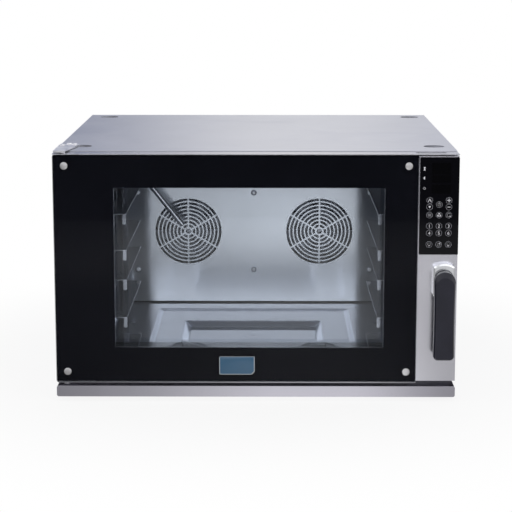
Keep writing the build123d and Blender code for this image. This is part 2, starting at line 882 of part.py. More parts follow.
def badge_plate():
    """Small blank plate near the foot of the door glass."""
    left = badge_left
    right = badge_left + badge_width
    low = badge_low
    high = badge_high
    cut = 6.0
    outline = Polyline(
        (left, low), (right - cut, low), (right, low + cut), (right, high), (left, high), close=True
    )
    face = make_face(outline)
    face = fillet(face.vertices().sort_by(Axis.X)[:2], 3.0)
    return upright_sheet(face, front - 1.0, front)


def door_gasket():
    """Seal on the face frame, around the oven mouth."""
    inner = 7.0
    outer = 17.0
    ring = mouth_outline(outer) - mouth_outline(inner)
    return upright_sheet(ring, front + door_back + 0.3, cabinet_front)


# Hinges and latch


def hinge_top_plate():
    """Upper hinge plate on the lid, with its pin pointing down."""
    low = height + plate_rise
    outline = Polyline(
        (2 - half, front + 1),
        (hinge_x + 4.5, front + 1),
        (hinge_x + 4.5, front + 17),
        (hinge_x + 17, front + 84),
        (hinge_x + 22, front + 112),
        (hinge_x + 19, front + 126),
        (2 - half, front + 128),
        close=True,
    )
    plate = extrude(Pos(0, 0, low) * make_face(outline), plate_thick)
    for x, y in screw_places():
        plate += rod_z(6.0, x, y, height, low)
    return plate + rod_z(pin_radius, hinge_x, hinge_y, frame_top - bush_length + 1.5, low)


def screw_places():
    """X and Y of the screws in the upper hinge plate, each over a spacer."""
    return [
        (hinge_x - 11, front + 98),
        (hinge_x + 1, front + 120),
        (hinge_x + 12, front + 114),
    ]


def hinge_screws():
    """Three button-head screws in the upper hinge plate."""
    top = height + plate_rise + plate_thick
    screws = []
    for x, y in screw_places():
        head = rod_z(5.2, x, y, top, top + 2.4)
        screws.append(fillet(head.edges().group_by(Axis.Z)[-1], 1.4))
    return group(screws)


def hinge_bottom_bracket():
    """Lower hinge bracket on the face frame, with a round boss and its pin pointing up."""
    low = gutter_top + 0.1
    top = door_under - 0.6
    bracket = block(hinge_x - 5, hinge_x + 5, hinge_y, cabinet_front, low, low + 3)
    bracket += block(hinge_x - 8, hinge_x + 8, cabinet_front - 2.8, cabinet_front, low, low + 32)
    bracket += rod_z(6.8, hinge_x, hinge_y, low, top)
    return bracket + rod_z(pin_radius, hinge_x, hinge_y, top, top + bush_length - 1)


def latch_keeper():
    """Catch behind the slot in the face frame, just under the hook."""
    top = handle_z - hook_reach - 1.5
    y0 = cabinet_inside
    keeper = block(handle_x - 22, handle_x + 10, y0, y0 + 3, top - 26, top - 3)
    return keeper + block(handle_x - 12, handle_x + 8, y0, y0 + 22, top - 8, top)


# Handle


def handle_boss():
    """Chrome boss on the face of the column: straight sides, a domed top and bevelled edges."""
    side = boss_width / 2
    drop = boss_dome - math.sqrt(boss_dome**2 - side**2)
    shoulder = boss_high - drop
    dome = ThreePointArc((handle_x + side, shoulder), (handle_x, boss_high), (handle_x - side, shoulder))
    walls = Polyline(
        (handle_x - side, shoulder),
        (handle_x - side, boss_low),
        (handle_x + side, boss_low),
        (handle_x + side, shoulder),
    )
    face = make_face([dome, walls])
    face = fillet(face.vertices(), 4.0)
    boss = upright_sheet(face, front + boss_front, front + column_face)
    boss = chamfer(boss.edges().group_by(Axis.Y)[0], boss_bevel)
    return boss - rod_y(spindle_radius + running_gap, handle_x, handle_z, front + boss_front - 1, front + 2)


def lever_outline(inset, drop):
    """Outline of the lever: a round head, a slim waist and a flat foot with round corners."""
    side = grip_width / 2 - inset
    waist = grip_waist / 2 - inset
    neck = handle_z - drop
    foot = grip_low + inset
    middle = (neck + foot) / 2
    left = ThreePointArc((handle_x - side, neck), (handle_x - waist, middle), (handle_x - side, foot))
    right = ThreePointArc((handle_x + side, foot), (handle_x + waist, middle), (handle_x + side, neck))
    head = ThreePointArc((handle_x + side, neck), (handle_x, neck + side), (handle_x - side, neck))
    base = Line((handle_x - side, foot), (handle_x + side, foot))
    face = make_face([left, base, right, head])
    return fillet(face.vertices().sort_by(Axis.Y)[:2], grip_corner - inset)


def handle_grip():
    """Black lever: straight sides, then walls that lean in to a smaller front face."""
    shoulder = front + grip_shoulder
    side = grip_width / 2
    whole = lever_outline(0, 0)
    face = lever_outline(grip_inset, grip_drop)
    grip = upright_sheet(whole, shoulder, front + grip_back)
    near = Plane.XZ.offset(handle_reach - front) * face
    grip += loft([near, Plane.XZ.offset(-shoulder) * whole], ruled=True)
    grip = fillet(grip.edges().group_by(Axis.Y)[0], grip_edge)
    hub_back = front + boss_front - lever_gap
    grip += rod_y(side - 3, handle_x, handle_z, front + grip_back, hub_back)
    return grip - rod_y(spindle_radius, handle_x, handle_z, front + spindle_front, hub_back + 1)


def handle_spindle():
    """Steel spindle from the lever through the boss and the column to the hook."""
    return rod_y(spindle_radius, handle_x, handle_z, front + spindle_front, front + hook_front + hook_thick)


def latch_hook():
    """Hook on the rear end of the spindle."""
    y0 = front + hook_front
    y1 = y0 + hook_thick
    hook = rod_y(hook_hub, handle_x, handle_z, y0, y1)
    hook += block(handle_x - 7, handle_x + 7, y0, y1, handle_z - hook_reach + 4, handle_z)
    hook += block(handle_x - 7, handle_x + 3, y0, y1, handle_z - hook_reach, handle_z)
    return hook - rod_y(spindle_radius, handle_x, handle_z, y0 - 1, y1 + 1)


def build_nodes():
    """Every node of the oven, by name."""
    left_x, right_x = fan_places()
    rack = left_rack()
    return {
        "top_cover": top_cover(),
        "left_side_panel": side_panel(-1),
        "right_side_panel": side_panel(1),
        "back_panel": back_panel(),
        "base_pan": base_pan(),
        "drip_gutter": drip_gutter(),
        "nose_trim": nose_trim(),
        "face_frame": face_frame(),
        "rubber_feet": foot_pads(),
        "cavity_liner": cavity_liner(),
        "cavity_back_wall": cavity_back_wall(),
        "cavity_lamp_housing": cavity_lamp_housing(),
        "cavity_lamp_lens": cavity_lamp_lens(),
        "fan_baffle": fan_baffle(),
        "baffle_screws": baffle_screws(),
        "left_rack": rack,
        "right_rack": across_cavity(rack),
        "rack_studs": rack_studs(),
        "steam_tube": steam_tube(),
        "temp_probe": temp_probe(),
        "left_fan_wheel": fan_wheel(left_x),
        "right_fan_wheel": fan_wheel(right_x),
        "left_fan_shaft": fan_shaft(left_x),
        "right_fan_shaft": fan_shaft(right_x),
        "left_heater": heater(left_x),
        "right_heater": heater(right_x),
        "left_fan_motor": fan_motor(left_x),
        "right_fan_motor": fan_motor(right_x),
        "motor_bulkhead": motor_bulkhead(),
        "insulation": insulation(),
        "exhaust_pipe": exhaust_pipe(),
        "compartment_wall": compartment_wall(),
        "power_board": power_board(),
        "terminal_block": terminal_block(),
        "water_valve": water_valve(),
        "cable_gland": cable_gland(),
        "cooler_frame": cooler_frame(),
        "cooler_rotor": cooler_rotor(),
        "door_outer_glass": door_outer_glass(),
        "glass_mask": glass_mask(),
        "door_inner_glass": door_inner_glass(),
        "door_hinge_stile": door_stile(frame_left, window_left - sight_left),
        "door_middle_stile": door_stile(window_right + sight_right, column_left),
        "door_top_rail": door_top_rail(),
        "door_bottom_rail": door_bottom_rail(),
        "hinge_bushes": hinge_bushes(),
        "control_column": control_column(),
        "control_glass": control_glass(),
        "display_board": display_board(),
        "glass_caps": glass_caps(),
        "badge_plate": badge_plate(),
        "door_gasket": door_gasket(),
        "hinge_top_plate": hinge_top_plate(),
        "hinge_screws": hinge_screws(),
        "hinge_bottom_bracket": hinge_bottom_bracket(),
        "latch_keeper": latch_keeper(),
        "handle_boss": handle_boss(),
        "handle_grip": handle_grip(),
        "handle_spindle": handle_spindle(),
        "latch_hook": latch_hook(),
    }


def main():
    """Write each node to its own file."""
    os.makedirs("parts", exist_ok=True)
    for name, shape in build_nodes().items():
        export_step(shape, f"parts/{name}.step")


main()
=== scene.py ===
import math

import bmesh
import bpy
from mathutils import Matrix, Vector


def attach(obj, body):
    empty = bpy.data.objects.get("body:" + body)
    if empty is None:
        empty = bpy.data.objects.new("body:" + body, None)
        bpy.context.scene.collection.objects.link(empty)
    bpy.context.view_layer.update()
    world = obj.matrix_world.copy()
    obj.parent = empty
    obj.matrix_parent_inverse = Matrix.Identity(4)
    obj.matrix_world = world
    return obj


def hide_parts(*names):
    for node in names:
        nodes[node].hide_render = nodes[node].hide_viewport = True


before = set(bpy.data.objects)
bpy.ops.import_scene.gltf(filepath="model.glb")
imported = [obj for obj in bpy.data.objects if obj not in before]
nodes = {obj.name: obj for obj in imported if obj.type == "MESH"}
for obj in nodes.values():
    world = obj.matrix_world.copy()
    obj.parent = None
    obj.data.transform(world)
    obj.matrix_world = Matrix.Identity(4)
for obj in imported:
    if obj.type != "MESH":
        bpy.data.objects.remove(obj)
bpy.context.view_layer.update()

# Sizes of the oven that its loose pieces are built from, in metres
MM = 0.001
FRONT = -378 * MM
BACK_SHEET = 400.5 * MM
CONTROL_FACE = FRONT - 1 * MM
PRINT_FACE = CONTROL_FACE - 0.04 * MM
PANEL_LEFT = 322.5 * MM
PANEL_TOP = 495 * MM
CAVITY_X = -8 * MM
CAVITY_HALF = 310 * MM
CAVITY_LOW, CAVITY_HIGH = 95 * MM, 440 * MM
CAVITY_CORNER = 18 * MM
FAN_Z = 261.2 * MM
BAFFLE_FACE = FRONT + 518 * MM
BAFFLE_SCREW_X = (CAVITY_X - 265 * MM, CAVITY_X, CAVITY_X + 265 * MM)
BAFFLE_SCREW_Z = (FAN_Z - 89.1 * MM, FAN_Z + 89.1 * MM)
CAP_X = (-377.0 * MM, 300.9 * MM)
CAP_Z = (477.0 * MM, 61.9 * MM)
PLATE_TOP = 506.2 * MM
FRAME_FACE = FRONT + 48 * MM
LIP_BACK = FRONT + 118 * MM
DIMPLE_CENTRE = (3 * MM, 48 * MM, 0)
DIMPLE_SPREAD = (358 * MM, 304 * MM, 0)
DIMPLE_RADIUS = 21 * MM
STRIP_UNDER = 498.9 * MM
VENT_LEFT, VENT_RIGHT = 314 * MM, 378 * MM
WATER_INLET = (-300 * MM, BACK_SHEET, 80 * MM)
BACK_SCREW_SIDE = 385 * MM
BACK_SCREW_ROWS = (60 * MM, 200 * MM, 340 * MM, 480 * MM)
BACK_SCREW_LOW = 26 * MM
BACK_SCREW_FEET = (-250 * MM, 0.0, 250 * MM)
LOUVRE_X = (-300 * MM, 250 * MM)

# Measures in millimetres: depths behind the front, a screw's length and heights from the fans
VENT_ROWS = (15.6, 22.0, 28.4)
HINGE_SCREWS = ((-391, 98), (-379, 120), (-368, 114))
SCREW_SHANK = 82
LOUVRE_LOWEST, LOUVRE_PITCH, LOUVRE_SLOTS = -91, 16, 10

RING_STEPS = 48


# Mesh helpers


def finish_piece(bm, name, material, body, smooth=None, stands_for=()):
    """Turns a bmesh into a named piece that rides on a body."""
    bmesh.ops.recalc_face_normals(bm, faces=bm.faces)
    mesh = bpy.data.meshes.new(name)
    bm.to_mesh(mesh)
    bm.free()
    mesh.materials.append(material)
    if smooth is not None:
        smooth_by_angle(mesh, smooth)
    return place_piece(mesh, name, body, stands_for)


def place_piece(mesh, name, body, stands_for=()):
    """Puts a finished mesh into the scene, on its body."""
    piece = bpy.data.objects.new(name, mesh)
    bpy.context.scene.collection.objects.link(piece)
    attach(piece, body)
    if stands_for:
        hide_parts(*stands_for)
    return piece


def smooth_by_angle(mesh, degrees):
    """Smooth shading, with creases kept where faces meet at more than this angle."""
    mesh.polygons.foreach_set("use_smooth", [True] * len(mesh.polygons))
    limit = math.radians(degrees)
    bm = bmesh.new()
    bm.from_mesh(mesh)
    for edge in bm.edges:
        edge.smooth = len(edge.link_faces) == 2 and edge.calc_face_angle(0) < limit
    bm.to_mesh(mesh)
    bm.free()


def skin_loops(bm, loops, closed=True):
    """Joins rings of points with faces, one ring to the next."""
    for first, second in zip(loops, loops[1:]):
        count = len(first)
        for n in range(count if closed else count - 1):
            m = (n + 1) % count
            bm.faces.new((first[n], first[m], second[m], second[n]))


def ring_of(bm, place, radius, along, steps):
    """A ring of vertices around an axis, or one vertex where its radius is nothing."""
    if radius < 1e-7:
        return [bm.verts.new(place @ Vector((0, 0, along)))]
    ring = []
    for n in range(steps):
        turn = 2 * math.pi * n / steps
        spot = Vector((radius * math.cos(turn), radius * math.sin(turn), along))
        ring.append(bm.verts.new(place @ spot))
    return ring


def turned(bm, profile, place, steps):
    """A body of revolution. The profile is (radius, distance) pairs; place maps +Z on to its axis."""
    rings = [ring_of(bm, place, radius, along, steps) for radius, along in profile]
    for lower, upper in zip(rings, rings[1:]):
        for n in range(steps):
            m = (n + 1) % steps
            near = (lower[n % len(lower)], lower[m % len(lower)])
            far = (upper[m % len(upper)], upper[n % len(upper)])
            corners = list(dict.fromkeys(near + far))
            if len(corners) > 2:
                bm.faces.new(corners)


def toward_front(x, y, z):
    """A placing whose +Z points out of the oven's front, to -Y."""
    return Matrix.Translation((x, y, z)) @ Matrix.Rotation(math.pi / 2, 4, "X")


def toward_back(x, y, z):
    """A placing whose +Z points out of the oven's back, to +Y."""
    return Matrix.Translation((x, y, z)) @ Matrix.Rotation(-math.pi / 2, 4, "X")


def upward(x, y, z):
    return Matrix.Translation((x, y, z))


def outline_plate(bm, outline, y_front, y_back, bevel=0.0):
    """A plate from a closed outline of (x, z) points, with its front edge bevelled."""
    count = len(outline)
    middle = Vector((sum(p[0] for p in outline) / count, sum(p[1] for p in outline) / count))
    rings = [(y_back, 0.0), (y_front, 0.0)]
    if bevel:
        rings = [(y_back, 0.0), (y_front + bevel, 0.0)]
        rings += [(y_front + bevel * 0.3, bevel * 0.3), (y_front, bevel)]
    loops = []
    for y, inset in rings:
        loop = []
        for n in range(count):
            before = Vector(outline[n - 1])
            here = Vector(outline[n])
            after = Vector(outline[(n + 1) % count])
            along = ((here - before).normalized() + (after - here).normalized()).normalized()
            inward = Vector((-along.y, along.x))
            if inward.dot(middle - here) < 0:
                inward = -inward
            point = here + inward * inset
            loop.append(bm.verts.new((point.x, y, point.y)))
        loops.append(loop)
    skin_loops(bm, loops)
    bm.faces.new(loops[0])
    bm.faces.new(loops[-1])


def arc(cx, cz, radius, start, end, steps):
    """Points on an arc, from one angle in degrees to another."""
    points = []
    for n in range(steps + 1):
        turn = math.radians(start + (end - start) * n / steps)
        points.append((cx + radius * math.cos(turn), cz + radius * math.sin(turn)))
    return points


def rounded_outline(x0, x1, z0, z1, radius, steps=5):
    """A rounded rectangle as a closed outline."""
    points = arc(x1 - radius, z1 - radius, radius, 0, 90, steps)
    points += arc(x0 + radius, z1 - radius, radius, 90, 180, steps)
    points += arc(x0 + radius, z0 + radius, radius, 180, 270, steps)
    points += arc(x1 - radius, z0 + radius, radius, 270, 360, steps)
    return points


def in_mm(pairs, x=0.0, z=0.0):
    """Pairs of millimetres as metres, from a chosen place."""
    return [(x + first * MM, z + second * MM) for first, second in pairs]


def print_shape(bm, points):
    """A printed solid shape from (x, z) points."""
    bm.faces.new([bm.verts.new((x, PRINT_FACE, z)) for x, z in points])


def print_ring(bm, cx, cz, radius, line):
    """A printed circle line."""
    circles = []
    for reach in (radius - line, radius):
        circle = arc(cx, cz, reach, 0, 360, RING_STEPS)[:-1]
        circles.append([bm.verts.new((x, PRINT_FACE, z)) for x, z in circle])
    skin_loops(bm, circles)


def print_line(bm, points, line, closed=False):
    """A printed line through (x, z) points."""
    run = list(points) + ([points[0]] if closed else [])
    for (x0, z0), (x1, z1) in zip(run, run[1:]):
        along = Vector((x1 - x0, z1 - z0))
        if along.length < 1e-9:
            continue
        reach = along.normalized() * line / 2
        side = Vector((-reach.y, reach.x))
        corners = []
        for x, z, way in ((x0, z0, -1), (x1, z1, 1)):
            corners.append((x + way * reach.x + way * side.x, z + way * reach.y + way * side.y))
            corners.append((x + way * reach.x - way * side.x, z + way * reach.y - way * side.y))
        print_shape(bm, corners)


# Shader helpers


def wire(tree, source, target):
    tree.links.new(source, target)


def feed(tree, value, socket):
    """Sets a socket to a constant, or links another socket to it."""
    if isinstance(value, (int, float, tuple)):
        socket.default_value = value
    else:
        wire(tree, value, socket)


def give(node, **values):
    """Sets constants on a node's inputs."""
    for label, value in values.items():
        node.inputs[label].default_value = value


def noise(tree, vector, scale, detail=2.0, roughness=0.5, distortion=0.0):
    node = tree.nodes.new("ShaderNodeTexNoise")
    give(node, Scale=scale, Detail=detail, Roughness=roughness, Distortion=distortion)
    wire(tree, vector, node.inputs["Vector"])
    return node.outputs["Fac"]


def ranged(tree, value, low, high, out_low, out_high, smooth=False):
    """A value carried from one range to another."""
    node = tree.nodes.new("ShaderNodeMapRange")
    if smooth:
        node.interpolation_type = "SMOOTHSTEP"
    for label, number in (("From Min", low), ("From Max", high), ("To Min", out_low), ("To Max", out_high)):
        node.inputs[label].default_value = number
    wire(tree, value, node.inputs["Value"])
    return node.outputs["Result"]


def arithmetic(tree, operation, first, second):
    node = tree.nodes.new("ShaderNodeMath")
    node.operation = operation
    feed(tree, first, node.inputs[0])
    feed(tree, second, node.inputs[1])
    return node.outputs[0]


def product(tree, first, second):
    return arithmetic(tree, "MULTIPLY", first, second)


def total(tree, first, second):
    return arithmetic(tree, "ADD", first, second)


def object_place(tree):
    return tree.nodes.new("ShaderNodeTexCoord").outputs["Object"]


def split(tree, vector):
    """The X, Y and Z of a vector, as sockets by name."""
    node = tree.nodes.new("ShaderNodeSeparateXYZ")
    wire(tree, vector, node.inputs[0])
    return node.outputs


def vector_step(tree, operation, first, second=None):
    """One step of vector arithmetic. Lengths and dot products give a plain value."""
    node = tree.nodes.new("ShaderNodeVectorMath")
    node.operation = operation
    wire(tree, first, node.inputs[0])
    if second is not None:
        feed(tree, second, node.inputs[1])
    return node.outputs["Value" if operation in ("LENGTH", "DOT_PRODUCT") else "Vector"]


def blended(tree, mask, first, second):
    """A colour between two others, by a mask."""
    node = tree.nodes.new("ShaderNodeMix")
    node.data_type = "RGBA"
    for label, value in (("A", first), ("B", second)):
        feed(tree, value, [s for s in node.inputs if s.name == label and s.type == "RGBA"][0])
    wire(tree, mask, [s for s in node.inputs if s.name == "Factor" and s.type == "VALUE"][0])
    return [s for s in node.outputs if s.type == "RGBA"][0]


def stretched(tree, vector, scale, turn=(0, 0, 0)):
    node = tree.nodes.new("ShaderNodeMapping")
    give(node, Scale=scale, Rotation=turn)
    wire(tree, vector, node.inputs["Vector"])
    return node.outputs["Vector"]


# Shader groups that several finishes share


def new_group(name, inputs, outputs):
    """An empty shader node group. Returns it with its input node, its output node and object coordinates."""
    group = bpy.data.node_groups.new(name, "ShaderNodeTree")
    for kind, label, value in inputs:
        socket = group.interface.new_socket(label, in_out="INPUT", socket_type=kind)
        socket.default_value = value
    for kind, label in outputs:
        group.interface.new_socket(label, in_out="OUTPUT", socket_type=kind)
    given = group.nodes.new("NodeGroupInput")
    made = group.nodes.new("NodeGroupOutput")
    return group, given, made, object_place(group)


def build_grain_group():
    """Fine parallel grain of ground sheet, with slow blotches of tone."""
    group, given, made, place = new_group(
        "sheet_grain",
        [("NodeSocketVector", "Stretch", (1, 1, 1)), ("NodeSocketFloat", "Density", 300.0)],
        [("NodeSocketFloat", "Grain"), ("NodeSocketFloat", "Blotch")],
    )
    fine = group.nodes.new("ShaderNodeTexNoise")
    give(fine, Detail=3.0, Roughness=0.6)
    wire(group, vector_step(group, "MULTIPLY", place, given.outputs["Stretch"]), fine.inputs["Vector"])
    wire(group, given.outputs["Density"], fine.inputs["Scale"])
    wire(group, fine.outputs["Fac"], made.inputs["Grain"])
    wire(group, noise(group, place, 4.5, 3.0, 0.55, 0.4), made.inputs["Blotch"])
    return group


def build_edge_group():
    """Mask of the outer edges, broken in patches, where handling rubs a finish bright or thin; finishes also
    use it for painted glints along edges.
    """
    group, given, made, place = new_group(
        "edge_wear_and_glint",
        [("NodeSocketFloat", "Width", 0.001), ("NodeSocketFloat", "Patchiness", 0.5)],
        [("NodeSocketFloat", "Edge")],
    )
    soft = group.nodes.new("ShaderNodeBevel")
    soft.samples = 4
    wire(group, given.outputs["Width"], soft.inputs["Radius"])
    shape = group.nodes.new("ShaderNodeNewGeometry")
    bend = vector_step(group, "DOT_PRODUCT", soft.outputs["Normal"], shape.outputs["Normal"])
    sharp = ranged(group, bend, 0.80, 0.995, 1.0, 0.0)
    patches = ranged(group, noise(group, place, 60.0, 3.0), 0.35, 0.65, 0.0, 1.0)
    edge_shift = product(group, patches, given.outputs["Patchiness"])
    kept = arithmetic(group, "SUBTRACT", 1.0, edge_shift)
    wire(group, product(group, sharp, kept), made.inputs["Edge"])
    return group


def build_marks_group():
    """Faint wiped marks and finger grease, as a mask."""
    group, given, made, place = new_group(
        "wiped_marks",
        [("NodeSocketFloat", "Size", 6.0)],
        [("NodeSocketFloat", "Marks")],
    )
    broad = group.nodes.new("ShaderNodeTexNoise")
    give(broad, Detail=4.0, Distortion=1.2)
    wire(group, place, broad.inputs["Vector"])
    wire(group, given.outputs["Size"], broad.inputs["Scale"])
    fine = noise(group, stretched(group, place, (9.0, 9.0, 2.0), (0.4, 0.6, 0.2)), 7.0, 3.0)
    patches = ranged(group, broad.outputs["Fac"], 0.45, 0.7, 0.0, 1.0, True)
    wire(group, product(group, patches, fine), made.inputs["Marks"])
    return group


def build_skin_group():
    """Fine cast or moulded texture, as a height, and slow changes of tone."""
    group, given, made, place = new_group(
        "moulded_skin",
        [("NodeSocketFloat", "Size", 900.0)],
        [("NodeSocketFloat", "Height"), ("NodeSocketFloat", "Tone")],
    )
    cells = group.nodes.new("ShaderNodeTexVoronoi")
    cells.feature = "SMOOTH_F1"
    wire(group, place, cells.inputs["Vector"])
    wire(group, given.outputs["Size"], cells.inputs["Scale"])
    wire(group, cells.outputs["Distance"], made.inputs["Height"])
    wire(group, noise(group, place, 30.0, 4.0), made.inputs["Tone"])
    return group


GRAIN = build_grain_group()
EDGE = build_edge_group()
MARKS = build_marks_group()
SKIN = build_skin_group()


def use_group(tree, group, **values):
    node = tree.nodes.new("ShaderNodeGroup")
    node.node_tree = group
    give(node, **values)
    return node.outputs


# Finishes


def blank_material(name):
    """A material with one Principled shader. Returns the material, its tree and the shader."""
    material = bpy.data.materials.new(name)
    material.use_nodes = True
    tree = material.node_tree
    tree.nodes.clear()
    shader = tree.nodes.new("ShaderNodeBsdfPrincipled")
    output = tree.nodes.new("ShaderNodeOutputMaterial")
    wire(tree, shader.outputs[0], output.inputs["Surface"])
    return material, tree, shader


def give_bump(tree, shader, height, distance, strength=1.0, rounding=0.0):
    """Relief on a surface, over edges that are softened by a small radius."""
    bump = tree.nodes.new("ShaderNodeBump")
    give(bump, Distance=distance, Strength=strength)
    wire(tree, height, bump.inputs["Height"])
    if rounding:
        soft = tree.nodes.new("ShaderNodeBevel")
        soft.samples = 4
        soft.inputs["Radius"].default_value = rounding
        wire(tree, soft.outputs["Normal"], bump.inputs["Normal"])
    wire(tree, bump.outputs["Normal"], shader.inputs["Normal"])


def scaled(colour, factor):
    return (colour[0] * factor, colour[1] * factor, colour[2] * factor, 1.0)


def painted_dimple_shade(tree):
    """Mask of the lid's four round dimples, for painted shade inside them, darker on the side towards the
    lid's middle.
    """
    place = vector_step(tree, "SUBTRACT", object_place(tree), DIMPLE_CENTRE)
    place = vector_step(tree, "SUBTRACT", vector_step(tree, "ABSOLUTE", place), DIMPLE_SPREAD)
    place = vector_step(tree, "MULTIPLY", place, (1, 1, 0))
    inner = ranged(tree, split(tree, place)["X"], -DIMPLE_RADIUS, DIMPLE_RADIUS, 0.95, 0.15)
    reach = vector_step(tree, "LENGTH", place)
    inside = ranged(tree, reach, DIMPLE_RADIUS + 0.2 * MM, DIMPLE_RADIUS + 1 * MM, 1.0, 0.0, True)
    return product(tree, inside, inner)


GRAIN_DENSITY = 260.0
GRAIN_DEPTH = 0.00002
SHEET_ROUNDING = 0.0007


def sheet_steel(name, colour, rough, stretch, edge=0.3, glint=1.25, dimples=False):
    """Ground stainless sheet: parallel grain, slow tone changes, wiped marks and edges brightened as painted
    glints.
    """
    material, tree, shader = blank_material(name)
    grain = use_group(tree, GRAIN, Stretch=stretch, Density=GRAIN_DENSITY)
    marks = use_group(tree, MARKS, Size=5.0)["Marks"]
    edge_wear_glint = use_group(tree, EDGE, Width=0.0012, Patchiness=0.4)["Edge"]
    tone = ranged(tree, grain["Blotch"], 0.3, 0.7, 0.0, 1.0)
    base = blended(tree, tone, scaled(colour, 0.95), scaled(colour, 1.03))
    lines = ranged(tree, grain["Grain"], 0.3, 0.75, 0.0, 0.35)
    lined = blended(tree, lines, base, scaled(colour, 1.11))
    # Painted glint: edges lightened towards the glint colour, standing in for highlights on the bends
    bright = blended(tree, product(tree, edge_wear_glint, edge), lined, scaled(colour, glint))
    if dimples:
        # Painted shade in the lid's dimples, darker on the side towards the lid's middle
        bright = blended(tree, painted_dimple_shade(tree), bright, scaled(colour, 0.38))
    wire(tree, bright, shader.inputs["Base Color"])
    shader.inputs["Metallic"].default_value = 1.0
    ground = ranged(tree, grain["Grain"], 0.25, 0.75, rough * 0.82, rough * 1.18)
    wire(tree, total(tree, ground, product(tree, marks, 0.10)), shader.inputs["Roughness"])
    give_bump(tree, shader, grain["Grain"], GRAIN_DEPTH, 0.5, SHEET_ROUNDING)
    return material


def painted_light_rough_flanks(tree):
    """Mask of the sloped flanks of the pressed floor, which are given painted light (a paler colour) and a
    less smooth finish.
    """
    upward_share = split(tree, tree.nodes.new("ShaderNodeNewGeometry").outputs["True Normal"])["Z"]
    off_flat = ranged(tree, upward_share, 0.970, 0.990, 1.0, 0.0)
    off_wall = ranged(tree, upward_share, 0.30, 0.50, 0.0, 1.0)
    return product(tree, off_flat, off_wall)


def darkened_lip_and_gap_shade(tree, place):
    """Mask of the cavity floor's front lip, which is darkened, and of the strip behind the baffle, darkened
    as painted shade where the floor mirrors the dark gap under the baffle.
    """
    spot = split(tree, place)
    lip = ranged(tree, spot["Y"], LIP_BACK - 2 * MM, LIP_BACK + 2 * MM, 0.8, 0.0, True)
    behind = ranged(tree, spot["Y"], BAFFLE_FACE - 3 * MM, BAFFLE_FACE, 0.0, 0.9)
    low = ranged(tree, spot["Z"], CAVITY_LOW + 6 * MM, CAVITY_LOW + 12 * MM, 1.0, 0.0)
    return product(tree, arithmetic(tree, "MAXIMUM", lip, behind), low)


BARE_METAL = 0.72


def mirror_steel(
    name, colour, rough, wave, smear=0.0, haze=0.05, edge=0.3, rounding=0.0006, flank=1.0, edge_shift=0.0
):
    """Bright-rolled stainless sheet: nearly a mirror, with slow waves, wiped marks and rolling lines."""
    material, tree, shader = blank_material(name)
    place = object_place(tree)
    lines = noise(tree, stretched(tree, place, (1.0, 1.0, 60.0)), 8.0, 3.0)
    waves = noise(tree, stretched(tree, place, (7.0, 7.0, 5.0)), 1.0, 1.0, 0.4)
    marks = use_group(tree, MARKS, Size=4.0)["Marks"]
    base = blended(tree, lines, scaled(colour, 0.97), scaled(colour, 1.03))
    dulled = blended(tree, marks, base, scaled(colour, 0.94))
    edge_wear_glint = use_group(tree, EDGE, Width=0.0010, Patchiness=0.4)["Edge"]
    bright = product(tree, edge_wear_glint, edge)
    # Painted glint: edges brightened, and further where the wear amount is raised, which also makes them less
    # metallic
    finished = blended(tree, bright, dulled, scaled(colour, 1.35 + edge_shift))
    glossy = ranged(tree, lines, 0.3, 0.7, rough * 0.9, rough * 1.15)
    if flank > 1.0:
        # Painted light: the floor's sloped flanks are made paler
        sloped = painted_light_rough_flanks(tree)
        finished = blended(tree, sloped, finished, scaled(colour, flank))
        # Near-black: painted shade on the strip behind the baffle, and a darkened front lip
        finished = blended(tree, darkened_lip_and_gap_shade(tree, place), finished, scaled(colour, 0.08))
        glossy = total(tree, glossy, product(tree, sloped, 0.12))
    wire(tree, finished, shader.inputs["Base Color"])
    wire(tree, ranged(tree, bright, 0.0, 1.0, BARE_METAL, BARE_METAL - edge_shift), shader.inputs["Metallic"])
    shader.inputs["Anisotropic"].default_value = smear
    shader.inputs["Anisotropic Rotation"].default_value = 0.25
    hazy = product(tree, marks, haze)
    wire(tree, total(tree, glossy, hazy), shader.inputs["Roughness"])
    give_bump(tree, shader, waves, wave, 1.0, rounding)
    return material


def zinc_sheet(name, colour, rough):
    """Galvanised sheet with its spangle."""
    material, tree, shader = blank_material(name)
    cells = tree.nodes.new("ShaderNodeTexVoronoi")
    cells.inputs["Scale"].default_value = 55.0
    wire(tree, object_place(tree), cells.inputs["Vector"])
    tone = tree.nodes.new("ShaderNodeSeparateColor")
    wire(tree, cells.outputs["Color"], tone.inputs[0])
    marks = use_group(tree, MARKS, Size=7.0)["Marks"]
    base = blended(tree, tone.outputs[0], scaled(colour, 0.9), scaled(colour, 1.08))
    wire(tree, blended(tree, marks, base, scaled(colour, 0.82)), shader.inputs["Base Color"])
    shader.inputs["Metallic"].default_value = 1.0
    wire(tree, ranged(tree, tone.outputs[1], 0.0, 1.0, rough * 0.8, rough * 1.25), shader.inputs["Roughness"])
    give_bump(tree, shader, tone.outputs[0], 0.00001, 0.4, 0.0005)
    return material


def turned_metal(name, colour, rough, spread=0.08, size=700.0, depth=0.00001):
    """Plated, cast or turned small hardware with fine wear, and painted glints along its edges."""
    material, tree, shader = blank_material(name)
    skin = use_group(tree, SKIN, Size=size)
    edge_wear_glint = use_group(tree, EDGE, Width=0.0005, Patchiness=0.5)["Edge"]
    tone = ranged(tree, skin["Tone"], 0.3, 0.7, 0.0, 1.0)
    base = blended(tree, tone, scaled(colour, 1 - spread), scaled(colour, 1 + spread))
    # Painted glint: edges lightened, partly as wear
    edge_shift = blended(tree, product(tree, edge_wear_glint, 0.5), base, scaled(colour, 1.3))
    wire(tree, edge_shift, shader.inputs["Base Color"])
    shader.inputs["Metallic"].default_value = 1.0
    wire(tree, ranged(tree, skin["Tone"], 0.3, 0.7, rough * 0.8, rough * 1.3), shader.inputs["Roughness"])
    give_bump(tree, shader, skin["Height"], depth, 0.3)
    return material


